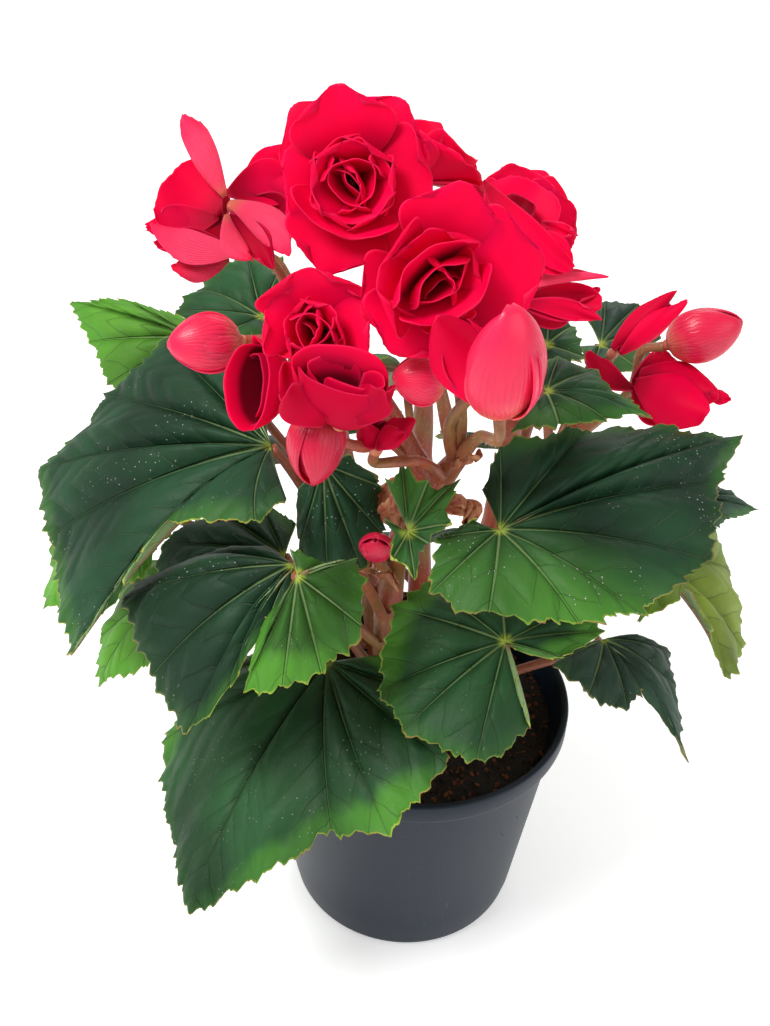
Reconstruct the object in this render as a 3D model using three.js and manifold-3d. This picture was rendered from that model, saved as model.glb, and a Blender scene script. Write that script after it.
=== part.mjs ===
// Potted begonia: a double red begonia in a dark plastic nursery pot.
// Millimetres, +Z up. The origin is the middle of the pot's foot, and the plant's front faces -Y.
import * as THREE from "three";
import { mergeVertices } from "three/addons/utils/BufferGeometryUtils.js";
import Module from "manifold-3d";

const wasm = await Module();
wasm.setup();

// ---- Driving dimensions ----

// Pot
const POT_HEIGHT = 100;
const RIM_RADIUS = 60;
const RIM_BAND = 8;
const RIM_STEP = 3.5;
const RIM_EDGE = 1;
const FOOT_RADIUS = 46;
const FOOT_ROUNDING = 4;
const FOOT_RING_INSIDE = 34;
const WALL = 1.8;
const FLOOR = 2.5;
const FOOT_SLOTS = 8;
const SLOT_WIDTH = 9;
const SLOT_LENGTH = 16;
const SLOT_HEIGHT = 1.6;
const PAD_RADIUS = 12;
const POT_SEGMENTS = 32;

// Soil
const SOIL_TOP = 89;
const SOIL_BUMP = 1.6;
const SOIL_RINGS = 3;
const SOIL_SHRINK = 0.3;
const SOIL_FOOT_INSET = 2.4;
const STEM_HOLE_FLOOR = 78.5;
const STEM_HOLE_PLAY = 1;
const STEM_HOLE_SIDES = 12;
const GAP = 0.4;

// Leaves
const BLADE = 1.1;
const TOOTH_PITCH = 18;
const TOOTH_DEPTH = 0.055;
const MIDWAY = 0.55;
const LOBE_BULGE = 0.1;
const PANEL_PUFF = 0.045;
const BLADE_ARCH = 0.08;
const STALK_RADIUS = 1.8;
const STALK_SIDES = 4;
const STALK_STEPS = 4;
const STALK_SWELL = 1.2;
const STALK_DROP = 5.4;
const FOOT_STANDOFF = 1.7;

// Flowers
const PETAL = 0.9;
const PETAL_ROOT_SHARE = 0.14;
const PETAL_ROOT_DEPTH = 1.2;
const PETAL_WIDEST = 0.6;
const PETAL_TIP_SHARE = 0.62;
const PETAL_CORNER = 0.28;
const PETAL_ARC_PIECES = 8;
const CUP_AT_ROOT = 0.3;
const BROAD_COLUMN = 0.36;
const BROAD_PETAL = 31;
const HEART_RADIUS = 3.4;
const FLOWER_STALK_SIDES = 4;
const FLOWER_STALK_STEPS = 4;
const FLOWER_STALK_RADII = [1.9, 1.5, 1.4];
const FLOWER_STALK_STRAIGHT = 7;
const STEM_SIDES = 6;

const COLOURS = {
  pot: 0x474c57,
  soil: 0x2a1a12,
  stem: 0xa5603f,
  petal: 0xd8042f,
  bud: 0xdb2440,
  dark: 0x274a33,
  green: 0x35652f,
  bright: 0x5a9130,
  light: 0x7da63c,
  yellow: 0x8f9c3d,
  grey: 0x54754f,
};

// ---- The plant's pieces, each placed as it grows ----

// A stem's own line from the soil up, its radius at each point, and the flower stalks that branch off it.
// A stalk starts inside the stem and ends under the flower that it carries.
const STEMS = [
  {
    name: "stem_front",
    line: [
      [-8, -10, 79], [-8, -10, 92], [-11, -14, 125], [-12, -20, 165], [-8, -29, 197], [1, -37, 222],
      [7, -43, 237],
    ],
    radii: [5.5, 5.5, 5.2, 4.8, 4.4, 3.8, 3.2],
    stalks: [
      { to: "flower_top", line: [[5, -41, 233], [-6, -32, 268]] },
      { to: "flower_centre", line: [[5, -41, 233], [4, -52, 262]] },
      { to: "bud_large", line: [[6, -42, 235], [10, -60, 253]] },
      { to: "flower_lower", line: [[0, -36, 220], [-16, -46, 250]] },
      { to: "flower_lip", line: [[0, -36, 220], [-14, -42, 238], [-22, -62, 249]] },
      { to: "bud_hanging", line: [[0, -36, 220], [-16, -48, 256], [-24, -56, 272]] },
      { to: "bud_cluster", line: [[2, -38, 224], [-6, -54, 240]] },
      { to: "bud_small_red", line: [[-12, -22, 172], [-15, -34, 186]] },
      { to: "bud_inner", line: [[5, -41, 233], [2, -52, 252]] },
    ],
  },
  {
    name: "stem_right",
    line: [
      [12, -5, 79], [12, -5, 92], [15, -7, 125], [20, -12, 175], [23, -18, 220], [23, -20, 250],
    ],
    radii: [4.8, 4.8, 4.6, 4.2, 3.4, 2.6],
    stalks: [
      { to: "flower_right", line: [[23, -20, 247], [20, -22, 275]] },
      { to: "flower_right_low", line: [[23, -20, 247], [19, -24, 266]] },
    ],
  },
  {
    name: "stem_left",
    line: [
      [-13, 11, 79], [-13, 11, 92], [-17, 12, 125], [-26, 10, 180], [-36, 4, 225], [-44, -8, 252],
    ],
    radii: [4.6, 4.6, 4.4, 4, 3.2, 2.4],
    stalks: [
      { to: "flower_left", line: [[-43, -6, 248], [-50, -4, 272]] },
      { to: "flower_far_left", line: [[-40, -2, 240], [-52, 12, 268]] },
      { to: "flower_left_low", line: [[-43, -6, 248], [-44, -30, 258]] },
      { to: "bud_left", line: [[-43, -6, 248], [-48, -24, 260]] },
    ],
  },
  {
    name: "stem_back_right",
    line: [[15, 15, 79], [15, 15, 92], [22, 19, 125], [38, 25, 175], [52, 26, 205]],
    radii: [4.4, 4.4, 4.2, 3.6, 2.8],
    stalks: [
      { to: "flower_far_right", line: [[50, 26, 201], [60, 18, 218]] },
      { to: "bud_far_right_left", line: [[51, 26, 203], [52, 34, 215]] },
      { to: "bud_far_right", line: [[50, 26, 201], [68, 28, 220]] },
    ],
  },
  {
    name: "stem_back",
    line: [[0, 23, 79], [0, 23, 92], [0, 26, 125], [-2, 28, 180], [-4, 28, 230], [-5, 24, 256]],
    radii: [4.6, 4.6, 4.4, 4, 3.2, 2.6],
    stalks: [
      { to: "flower_back", line: [[-5, 25, 252], [-6, 14, 286]] },
      { to: "flower_back_left", line: [[-4, 27, 240], [-22, 44, 262]] },
      { to: "flower_back_right", line: [[-4, 28, 236], [18, 46, 256]] },
    ],
  },
];

// A leaf's heart is where its stalk meets the blade. Its tips are the ends of its main veins, as offsets
// from the heart, in turn round the blade from one side of the notch to the other. Its foot is the stem
// that its stalk grows from and the height there, and a bend is a point that the stalk passes on the way.
const LEAVES = [
  {
    name: "leaf_right_large",
    tone: "dark",
    heart: [19, -55, 218],
    foot: ["stem_right", 186],
    tips: [
      [-9, 2, 2], [-19, -6, 0], [-20, -25, -5], [-4, -32, -7], [22, -30, -9], [40, -22, -11],
      [64, 1, -8], [73, 35, -2], [83, 56, 3], [29, 39, 14], [0, 27, 13], [-5, 12, 6],
    ],
  },
  {
    name: "leaf_front_round",
    tone: "green",
    heart: [27, -42, 163],
    foot: ["stem_right", 124],
    tips: [
      [4, -3, -1], [20, -6, -1], [33, 2, 5], [27, 11, 9], [-2, 22, 11], [-28, 21, 7],
      [-38, 12, 2], [-42, -14, -12], [-33, -29, -14], [-10, -41, -16], [8, -27, -13], [3, -15, -7],
    ],
  },
  {
    name: "leaf_front_left_low",
    tone: "green",
    heart: [-32, -32, 141],
    foot: ["stem_front", 104],
    tips: [
      [-15, 15, -4], [-43, 20, -25], [-62, 0, -45], [-42, -65, -57], [5, -53, -26],
      [23, -60, -17], [42, -44, -2], [35, -22, 6], [20, -5, 9],
    ],
  },
  {
    name: "leaf_left_large",
    tone: "dark",
    heart: [-52, -22, 222],
    foot: ["stem_front", 165],
    tips: [
      [-5, 20, 5], [-22, 57, 11], [-46, 69, 0], [-65, 54, -17], [-90, 40, -42],
      [-79, 11, -50], [-61, -38, -61], [-32, -22, -16], [-2, -36, -3], [8, -27, -2],
    ],
  },
  {
    name: "leaf_left_middle",
    tone: "dark",
    heart: [-42, -55, 201],
    foot: ["stem_front", 142],
    bend: [-36, -38, 178],
    tips: [
      [-12, 29, -15], [-39, 38, -29], [-58, 14, -29], [-44, -11, -38],
      [-30, -30, -48], [-19, -26, -31], [-8, -16, -16], [3, -8, -6],
    ],
  },
  {
    name: "leaf_front_bright",
    tone: "bright",
    heart: [-40, -64, 204],
    foot: ["stem_front", 158],
    bend: [-23, -50, 194],
    tips: [
      [-10, -7, -13], [-14, -23, -27], [-2, -26, -22], [9, -19, -21],
      [21, -5, -15], [18, 12, -1], [9, 7, 0], [-3, 8, 5],
    ],
  },
  {
    name: "leaf_left_under",
    tone: "dark",
    heart: [-49, -12, 171],
    foot: ["stem_front", 124],
    tips: [
      [-2, 16, 3], [-12, 30, 2], [-30, 33, -5], [-48, 22, -15], [-50, 4, -23], [-25, -13, -16],
      [-5, -13, -9],
    ],
  },
  {
    name: "leaf_centre_dark",
    tone: "dark",
    heart: [-35, -30, 222],
    foot: ["stem_front", 184],
    tips: [
      [-5, -1, -14], [-3, -10, -30], [5, -14, -36], [14, -10, -34], [20, -3, -24], [18, 1, -8],
      [8, 5, 1],
    ],
  },
  {
    name: "leaf_young",
    tone: "green",
    heart: [-8, -62, 221],
    foot: ["stem_front", 194],
    tips: [
      [-9, 3, 3], [-5, -6, -8], [3, -12, -10], [7, -2, -3], [14, 0, 4],
      [14, 12, 12], [5, 10, 11], [-3, 16, 14], [-7, 11, 9],
    ],
  },
  {
    name: "leaf_right_upper",
    tone: "green",
    heart: [32, -22, 247],
    foot: ["stem_right", 214],
    bend: [31, -8, 232],
    tips: [
      [-12, -19, -4], [3, -17, -2], [18, -10, -2], [33, -6, -5], [26, 5, -4], [17, 19, -3],
      [7, 28, -1], [-4, 14, 0],
    ],
  },
  {
    name: "leaf_top_left_light",
    tone: "light",
    heart: [-90, 66, 213],
    foot: ["stem_left", 168],
    tips: [
      [-3, 6, 5], [-30, 19, 5], [-56, 29, -1], [-44, 10, -9],
      [-34, -5, -20], [-25, -12, -24], [-17, -6, -16], [-6, -7, -12],
    ],
  },
  {
    name: "leaf_top_left_back",
    tone: "green",
    heart: [-67, 84, 214],
    foot: ["stem_left", 190],
    tips: [
      [10, 6, 5], [6, 29, 11], [-11, 40, 10], [-30, 22, 2], [-36, 4, -2], [-16, -15, -3],
      [3, -14, 0],
    ],
  },
  {
    name: "leaf_left_far",
    tone: "light",
    heart: [-105, 30, 160],
    foot: ["stem_left", 136],
    tips: [
      [-8, 19, -2], [-40, 43, -25], [-45, 19, -36], [-43, -14, -44], [-26, -24, -29], [2, -30, -12],
      [10, -15, 0],
    ],
  },
  {
    name: "leaf_left_low_light",
    tone: "light",
    heart: [-91, 8, 139],
    foot: ["stem_left", 112],
    tips: [
      [3, 7, 2], [-12, 26, -6], [-27, 24, -19], [-33, 4, -33], [-33, -15, -40], [-11, -23, -21],
      [8, -25, -5],
    ],
  },
  {
    name: "leaf_right_drooping",
    tone: "yellow",
    heart: [86, 20, 153],
    foot: ["stem_back_right", 122],
    tips: [
      [-9, -35, -1], [11, -21, 4], [24, -20, -21], [34, -21, -39], [44, 0, -42], [44, 32, -27],
      [31, 47, -9], [11, 32, 1],
    ],
  },
  {
    name: "leaf_right_back_small",
    tone: "grey",
    heart: [108, 60, 154],
    foot: ["stem_back_right", 146],
    tips: [[11, -7, -10], [19, 3, -10], [34, 16, -14], [25, 20, -9], [14, 17, -3], [2, 13, 1]],
  },
  {
    name: "leaf_right_low",
    tone: "grey",
    heart: [69, 0, 130],
    foot: ["stem_right", 108],
    tips: [
      [-17, -12, 2], [-22, -23, 6], [-8, -28, -2], [8, -27, -11], [14, -13, -12],
      [35, -23, -37], [33, 5, -28], [33, 20, -23], [18, 20, -14],
    ],
  },
  {
    name: "leaf_right_back",
    tone: "grey",
    heart: [62, 62, 221],
    foot: ["stem_back_right", 178],
    tips: [
      [-10, -4, 1], [-5, -18, -3], [15, -7, -6], [26, 15, 0], [17, 26, 4], [4, 26, 7], [-5, 15, 5],
    ],
  },
  {
    name: "leaf_upper_back_dark",
    tone: "dark",
    heart: [38, 32, 235],
    foot: ["stem_back_right", 196],
    tips: [[-10, -7, -3], [-2, -15, -4], [14, -3, -3], [11, 15, 1], [2, 24, 4], [-9, 13, 2]],
  },
];

// Leaves round the back, all of one lopsided shape: where each heart is, the compass bearing that the
// blade points along, how far it droops, and its length.
const BACK_LEAVES = [
  {
    name: "leaf_back_left",
    tone: "dark",
    heart: [-56, 70, 160],
    foot: ["stem_back", 132],
    bearing: 134,
    droop: 32,
    length: 74,
  },
  {
    name: "leaf_back_middle",
    tone: "green",
    heart: [-10, 84, 194],
    foot: ["stem_back", 168],
    bearing: 102,
    droop: 38,
    length: 68,
  },
  {
    name: "leaf_back_right",
    tone: "dark",
    heart: [44, 78, 158],
    foot: ["stem_back_right", 132],
    bearing: 64,
    droop: 32,
    length: 70,
  },
  {
    name: "leaf_back_low",
    tone: "green",
    heart: [2, 66, 122],
    foot: ["stem_back", 106],
    bearing: 98,
    droop: 36,
    length: 58,
  },
];
// The back leaf's main veins: the bearing of each from the midrib, and its length as a share of the leaf's.
const BACK_VEINS = [
  [-158, 0.46], [-118, 0.68], [-72, 0.78], [-34, 0.8], [0, 1], [36, 0.72], [78, 0.62], [122, 0.5],
  [160, 0.34],
];

// Flowers. A flower's base is where its petals start, and it faces along a compass bearing and a height
// above level. Each petal is [spin clockwise from the top as seen from in front, how far it leans out at
// its root and at its tip, length, width, cup].
const FLOWERS = [
  {
    name: "flower_top",
    base: [-28, -33, 313],
    faces: [-88, 20],
    petals: [
      [-12, 62, 78, 26, 28, 0.12], [-40, 76, 92, 25, 24, 0.05], [30, 74, 90, 25, 28, 0.05],
      [92, 66, 86, 22, 32, 0.08],
      [145, 76, 90, 20, 24, 0.05], [196, 68, 84, 25, 27, 0.1], [238, 78, 92, 20, 24, 0.05],
      [288, 66, 82, 20, 28, 0.08],
      [0, 40, 34, 17, 22, 0.35], [120, 42, 38, 17, 22, 0.35], [240, 42, 38, 17, 22, 0.35],
      [60, 16, -6, 13, 14, 0.4],
    ],
  },
  {
    name: "flower_centre",
    base: [-6, -57, 298],
    faces: [-80, 16],
    petals: [
      [16, 66, 84, 26, 28, 0.05], [82, 68, 84, 29, 33, 0.1], [126, 72, 90, 25, 28, 0.05],
      [164, 70, 88, 20, 26, 0.05],
      [210, 66, 84, 21, 27, 0.1], [246, 72, 88, 19, 26, 0.05],
      [-12, 50, 52, 17, 24, 0.25], [278, 54, 56, 19, 30, 0.3], [190, 50, 50, 16, 22, 0.3],
      [104, 42, 38, 16, 20, 0.3],
      [60, 20, -4, 14, 15, 0.4],
    ],
  },
  {
    name: "flower_lower",
    base: [-35, -60.5, 282.3],
    faces: [-94, 30],
    petals: [
      [-12, 58, 62, 18, 28, 0.25], [60, 60, 70, 16.5, 25, 0.15], [176, 64, 78, 9, 20, 0.1],
      [296, 58, 68, 15.5, 23, 0.2],
      [40, 38, 26, 13, 16, 0.35], [160, 40, 28, 11, 14, 0.35], [280, 38, 26, 13, 16, 0.35],
      [100, 14, -6, 12, 12, 0.4],
    ],
  },
  {
    name: "flower_lip",
    base: [-26.5, -80, 270.3],
    faces: [90, 78],
    petals: [
      [180, 32, 2, 19, 27, 0.35], [96, 48, 20, 18, 22, 0.4], [264, 50, 22, 18, 22, 0.4],
      [36, 50, 12, 18, 23, 0.45],
      [-34, 50, 16, 18, 23, 0.45],
      [150, 24, 2, 14, 18, 0.4],
    ],
  },
  {
    name: "flower_left_low",
    base: [-47.5, -60.5, 268.5],
    faces: [-122, 12],
    petals: [
      [-14, 46, 28, 19, 17, 0.4], [62, 44, 38, 16, 20, 0.25], [176, 50, 30, 19, 18, 0.4],
      [262, 46, 20, 14.5, 28, 0.5],
      [104, 44, 24, 15, 22, 0.45],
    ],
  },
  {
    name: "flower_far_left",
    base: [-68, 0, 291],
    faces: [200, 2],
    petals: [
      [12, 76, 68, 31, 19, 0.25], [-70, 58, 48, 28, 34, 0.1], [-130, 60, 50, 24, 28, 0.2],
      [128, 50, 26, 25, 28, 0.35],
      [172, 66, 52, 24, 24, 0.25],
    ],
  },
  {
    name: "flower_left",
    base: [-63, -11, 298],
    faces: [-46, -36],
    petals: [
      [-10, 42, 8, 26, 29, 0.4], [186, 54, 40, 22, 24, 0.35], [80, 92, 104, 25, 30, 0.12],
      [40, 96, 112, 20, 22, 0.1],
      [252, 50, 34, 20, 20, 0.35],
    ],
  },
  {
    name: "flower_right",
    base: [15, -25, 292],
    faces: [-34, 55],
    petals: [
      [-30, 52, 44, 25, 30, 0.2], [34, 54, 50, 26, 28, 0.15], [100, 54, 50, 22, 26, 0.2],
      [168, 50, 36, 23, 24, 0.3],
      [222, 46, 14, 25, 34, 0.35],
      [10, 26, 8, 17, 18, 0.4],
    ],
  },
  {
    name: "flower_right_low",
    base: [19, -27, 278],
    faces: [-20, -6],
    petals: [
      [4, 40, 12, 27, 24, 0.3], [84, 44, 18, 26, 24, 0.3], [138, 44, 16, 25, 22, 0.3],
      [225, 46, 20, 15, 20, 0.35],
      [300, 46, 30, 18, 20, 0.35],
    ],
  },
  {
    name: "flower_back",
    base: [-10, 2, 302],
    faces: [40, 50],
    petals: [
      [0, 58, 70, 22, 24, 0.15], [72, 66, 78, 22, 24, 0.15], [140, 58, 70, 20, 24, 0.15],
      [215, 66, 78, 22, 24, 0.15],
      [285, 58, 70, 22, 24, 0.15],
      [20, 20, 0, 14, 14, 0.4],
    ],
  },
  {
    name: "flower_far_right",
    base: [66, 11, 234],
    faces: [-16, -4],
    petals: [
      [262, 54, -10, 28, 30, 0.5], [24, 50, 2, 29, 26, 0.4], [96, 46, 0, 28, 28, 0.4],
      [168, 46, 4, 33, 27, 0.4],
      [-36, 104, 122, 17, 16, 0.3],
    ],
  },
  {
    name: "flower_back_left",
    base: [-32, 52, 275],
    faces: [128, 34],
    petals: [
      [0, 58, 76, 24, 28, 0.12], [70, 66, 84, 23, 26, 0.12], [140, 58, 76, 22, 26, 0.12],
      [212, 66, 84, 23, 26, 0.12],
      [285, 58, 76, 23, 28, 0.12],
      [30, 24, 4, 15, 17, 0.35],
    ],
  },
  {
    name: "flower_back_right",
    base: [26, 54, 268],
    faces: [58, 26],
    petals: [
      [10, 58, 76, 23, 28, 0.12], [82, 66, 84, 22, 26, 0.12], [150, 58, 76, 22, 26, 0.12],
      [222, 66, 84, 22, 26, 0.12],
      [295, 58, 76, 22, 28, 0.12],
      [40, 24, 4, 15, 17, 0.35],
    ],
  },
];

// Buds, made as flowers are, with petals that still close over one another.
const BUDS = [
  {
    name: "bud_large",
    base: [12, -86, 277],
    faces: [-102, 78],
    core: [6, 18],
    petals: [
      [172, 42, -18, 34, 25, 0.6], [258, 50, 26, 29, 26, 0.45], [68, 40, -18, 32, 23, 0.6],
      [-30, 44, -16, 30, 24, 0.5],
    ],
  },
  {
    name: "bud_left",
    base: [-59, -42, 269],
    faces: [200, 4],
    core: [5, 15],
    petals: [[20, 38, -18, 20.5, 19, 0.55], [200, 38, -18, 20.5, 19, 0.55]],
  },
  {
    name: "bud_hanging",
    base: [-33, -69, 263],
    faces: [-104, -64],
    core: [5, 15],
    petals: [[60, 40, -20, 21, 19, 0.55], [240, 40, -20, 21, 19, 0.55]],
  },
  {
    name: "bud_cluster",
    base: [-11, -62, 253],
    faces: [-96, 40],
    core: [4, 9],
    petals: [[30, 50, 8, 14, 18, 0.45], [140, 50, 8, 14, 18, 0.45], [268, 44, 4, 9, 14, 0.45]],
  },
  {
    name: "bud_inner",
    base: [-2, -61, 270],
    faces: [190, 10],
    core: [4, 11],
    petals: [[70, 44, -16, 16, 16, 0.5], [250, 44, -16, 16, 16, 0.5]],
  },
  {
    name: "bud_small_red",
    base: [-17, -44, 199],
    faces: [-95, 60],
    core: [3, 8],
    petals: [[90, 40, -20, 12, 12, 0.4], [-90, 40, -20, 12, 12, 0.4]],
  },
  {
    name: "bud_far_right_left",
    base: [62.5, 39, 228.5],
    faces: [-4, 38],
    core: [4, 14],
    petals: [[60, 36, 2, 31, 22, 0.4], [196, 34, 0, 30, 22, 0.45]],
  },
  {
    name: "bud_far_right",
    base: [78, 22, 243],
    faces: [-6, 26],
    core: [5, 16],
    petals: [[80, 40, -14, 26, 23, 0.5], [-100, 40, -14, 25, 23, 0.5]],
  },
];

// ---- Helpers ----

const UP = new THREE.Vector3(0, 0, 1);
const v3 = (p) => new THREE.Vector3(...p);
const radians = THREE.MathUtils.degToRad;
const { lerp } = THREE.MathUtils;

// Numbers from 0 to 1 that are the same on every run.
function seededRandom(seed) {
  let state = seed;
  return () => {
    state = (Math.imul(state, 1664525) + 1013904223) >>> 0;
    return state / 2 ** 32;
  };
}

function solidOf(positions, triangles) {
  return new wasm.Manifold(
    new wasm.Mesh({
      numProp: 3,
      vertProperties: Float32Array.from(positions),
      triVerts: Uint32Array.from(triangles),
    }),
  );
}

function solidOfGeometry(geometry) {
  const bare = geometry.clone();
  bare.deleteAttribute("normal");
  bare.deleteAttribute("uv");
  const merged = mergeVertices(bare, 1e-3);
  return solidOf(merged.attributes.position.array, merged.index.array);
}

function solidOfPoints(points, faces) {
  return solidOf(points.flatMap((p) => p.toArray()), faces.flat());
}

function geometryOf(made) {
  const mesh = made.getMesh();
  const geometry = new THREE.BufferGeometry();
  geometry.setAttribute("position", new THREE.BufferAttribute(mesh.vertProperties, 3));
  geometry.setIndex(new THREE.BufferAttribute(mesh.triVerts, 1));
  const faceted = geometry.toNonIndexed();
  faceted.computeVertexNormals();
  return faceted;
}

// Joins the solids that grow as one piece. The largest shell is kept, so a hollow that the join seals
// is filled.
function grownTogether(solids) {
  const joined = solids.reduce((all, next) => all.add(next));
  return joined.decompose().reduce((best, next) => (next.volume() > best.volume() ? next : best));
}

// Gives an open sheet its thickness. The rim runs anticlockwise as seen from the sheet's front.
function thicken(points, faces, rim, backs) {
  const count = points.length;
  const all = [...points, ...points.map((p, i) => p.clone().add(backs[i]))];
  const shell = [];
  for (const [a, b, c] of faces) shell.push([a, b, c], [a + count, c + count, b + count]);
  rim.forEach((a, i) => {
    const b = rim[(i + 1) % rim.length];
    shell.push([a, a + count, b + count], [a, b + count, b]);
  });
  return solidOfPoints(all, shell);
}

// A closed stalk of changing radius along a smooth line.
function stalk(line, radii, sides, steps) {
  const curve = new THREE.CatmullRomCurve3(line);
  const { normals, binormals } = curve.computeFrenetFrames(steps);
  const points = [];
  for (let i = 0; i <= steps; i++) {
    const along = (i / steps) * (radii.length - 1);
    const k = Math.min(Math.floor(along), radii.length - 2);
    const radius = lerp(radii[k], radii[k + 1], along - k);
    const centre = curve.getPointAt(i / steps);
    for (let j = 0; j < sides; j++) {
      const turn = (j / sides) * 2 * Math.PI;
      points.push(
        centre
          .clone()
          .addScaledVector(normals[i], radius * Math.cos(turn))
          .addScaledVector(binormals[i], radius * Math.sin(turn)),
      );
    }
  }
  const faces = [];
  for (let i = 0; i < steps; i++) {
    for (let j = 0; j < sides; j++) {
      const a = i * sides + j;
      const b = i * sides + ((j + 1) % sides);
      faces.push([a, b, b + sides], [a, b + sides, a + sides]);
    }
  }
  const last = steps * sides;
  for (let j = 1; j < sides - 1; j++) faces.push([0, j + 1, j], [last, last + j, last + j + 1]);
  return solidOfPoints(points, faces);
}

// ---- Leaves ----

// The way that a blade's upper side faces, from the fan of its veins.
function bladeNormal(tips) {
  const normal = new THREE.Vector3();
  tips.forEach((tip, i) => normal.add(tip.clone().cross(tips[(i + 1) % tips.length])));
  return normal.normalize();
}

// The blade's edge as offsets from its heart. Between two veins it bulges, with a tooth at every other
// point.
function bladeEdge(tips, normal) {
  const edge = [];
  for (let i = 0; i < tips.length - 1; i++) {
    const span = tips[i].distanceTo(tips[i + 1]);
    const steps = 2 * Math.max(1, Math.round(span / TOOTH_PITCH));
    for (let j = 0; j < steps; j++) {
      const across = j / steps;
      const point = tips[i].clone().lerp(tips[i + 1], across);
      const out = point.clone().projectOnPlane(normal).normalize();
      point.addScaledVector(out, LOBE_BULGE * span * Math.sin(Math.PI * across));
      if (j % 2) point.multiplyScalar(1 - TOOTH_DEPTH);
      edge.push({ point, puff: Math.sin(Math.PI * across) });
    }
  }
  edge.push({ point: tips.at(-1).clone(), puff: 0 });
  return edge;
}

function bladeSolid(heart, tips) {
  const normal = bladeNormal(tips);
  const edge = bladeEdge(tips, normal);
  const points = [heart.clone()];
  const middle = [];
  const outer = [];
  edge.forEach(({ point, puff }, i) => {
    if (i % 2 === 0) {
      const lift = point.length() * (BLADE_ARCH * 4 * MIDWAY * (1 - MIDWAY) + PANEL_PUFF * puff);
      middle.push(points.length);
      points.push(heart.clone().addScaledVector(point, MIDWAY).addScaledVector(normal, lift));
    }
    outer.push(points.length);
    points.push(heart.clone().add(point));
  });
  const faces = [];
  for (let m = 0; m < middle.length - 1; m++) {
    const [a, b] = [middle[m], middle[m + 1]];
    const [p, q, r] = [outer[2 * m], outer[2 * m + 1], outer[2 * m + 2]];
    faces.push([0, a, b], [a, p, q], [a, q, b], [b, q, r]);
  }
  const rim = [0, middle[0], ...outer, middle.at(-1)];
  const back = normal.clone().multiplyScalar(-BLADE);
  return thicken(points, faces, rim, points.map(() => back));
}

// Where a leaf's stalk leaves its stem: just outside the stem's skin at a height, on the leaf's side.
function stalkFoot([stemName, height], toward) {
  const { line, radii } = STEMS.find(({ name }) => name === stemName);
  const k = line.findIndex((p, i) => i < line.length - 1 && line[i + 1][2] > height);
  const share = (height - line[k][2]) / (line[k + 1][2] - line[k][2]);
  const centre = v3(line[k]).lerp(v3(line[k + 1]), share);
  const away = toward.clone().sub(centre).setZ(0).normalize();
  return centre.addScaledVector(away, Math.max(...radii.slice(k, k + 2)) + FOOT_STANDOFF);
}

function leafSolid(leaf) {
  const heart = v3(leaf.heart);
  const tips = leaf.tips.map(v3);
  const normal = bladeNormal(tips);
  const joint = heart.clone().addScaledVector(normal, -BLADE / 2);
  const under = heart.clone().addScaledVector(normal, -STALK_DROP);
  const foot = stalkFoot(leaf.foot, leaf.bend ? v3(leaf.bend) : heart);
  const bend = leaf.bend ? v3(leaf.bend) : under.clone().lerp(foot, 0.5);
  const line = [joint, under.lerp(foot, 0.08), bend, foot];
  return grownTogether([
    bladeSolid(heart, tips),
    stalk(line, [STALK_RADIUS, STALK_RADIUS * STALK_SWELL], STALK_SIDES, STALK_STEPS),
  ]);
}

// A back leaf's tips, from the one shape that the back leaves share.
function backTips({ bearing, droop, length }) {
  const turn = new THREE.Matrix4().makeRotationZ(radians(bearing));
  const tilt = new THREE.Matrix4().makeRotationY(radians(droop));
  return BACK_VEINS.map(([angle, share]) =>
    new THREE.Vector3(Math.cos(radians(angle)), Math.sin(radians(angle)), 0)
      .multiplyScalar(share * length)
      .applyMatrix4(tilt)
      .applyMatrix4(turn)
      .toArray(),
  );
}

// ---- Flowers and buds ----

function compass([bearing, height]) {
  const level = Math.cos(radians(height));
  return new THREE.Vector3(
    level * Math.cos(radians(bearing)),
    level * Math.sin(radians(bearing)),
    Math.sin(radians(height)),
  );
}

function petalWidth(along) {
  if (along < PETAL_WIDEST) {
    return lerp(PETAL_ROOT_SHARE, 1, Math.sin((Math.PI / 2) * (along / PETAL_WIDEST)));
  }
  return lerp(PETAL_TIP_SHARE, 1, Math.cos((Math.PI / 2) * ((along - PETAL_WIDEST) / (1 - PETAL_WIDEST))));
}

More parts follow.
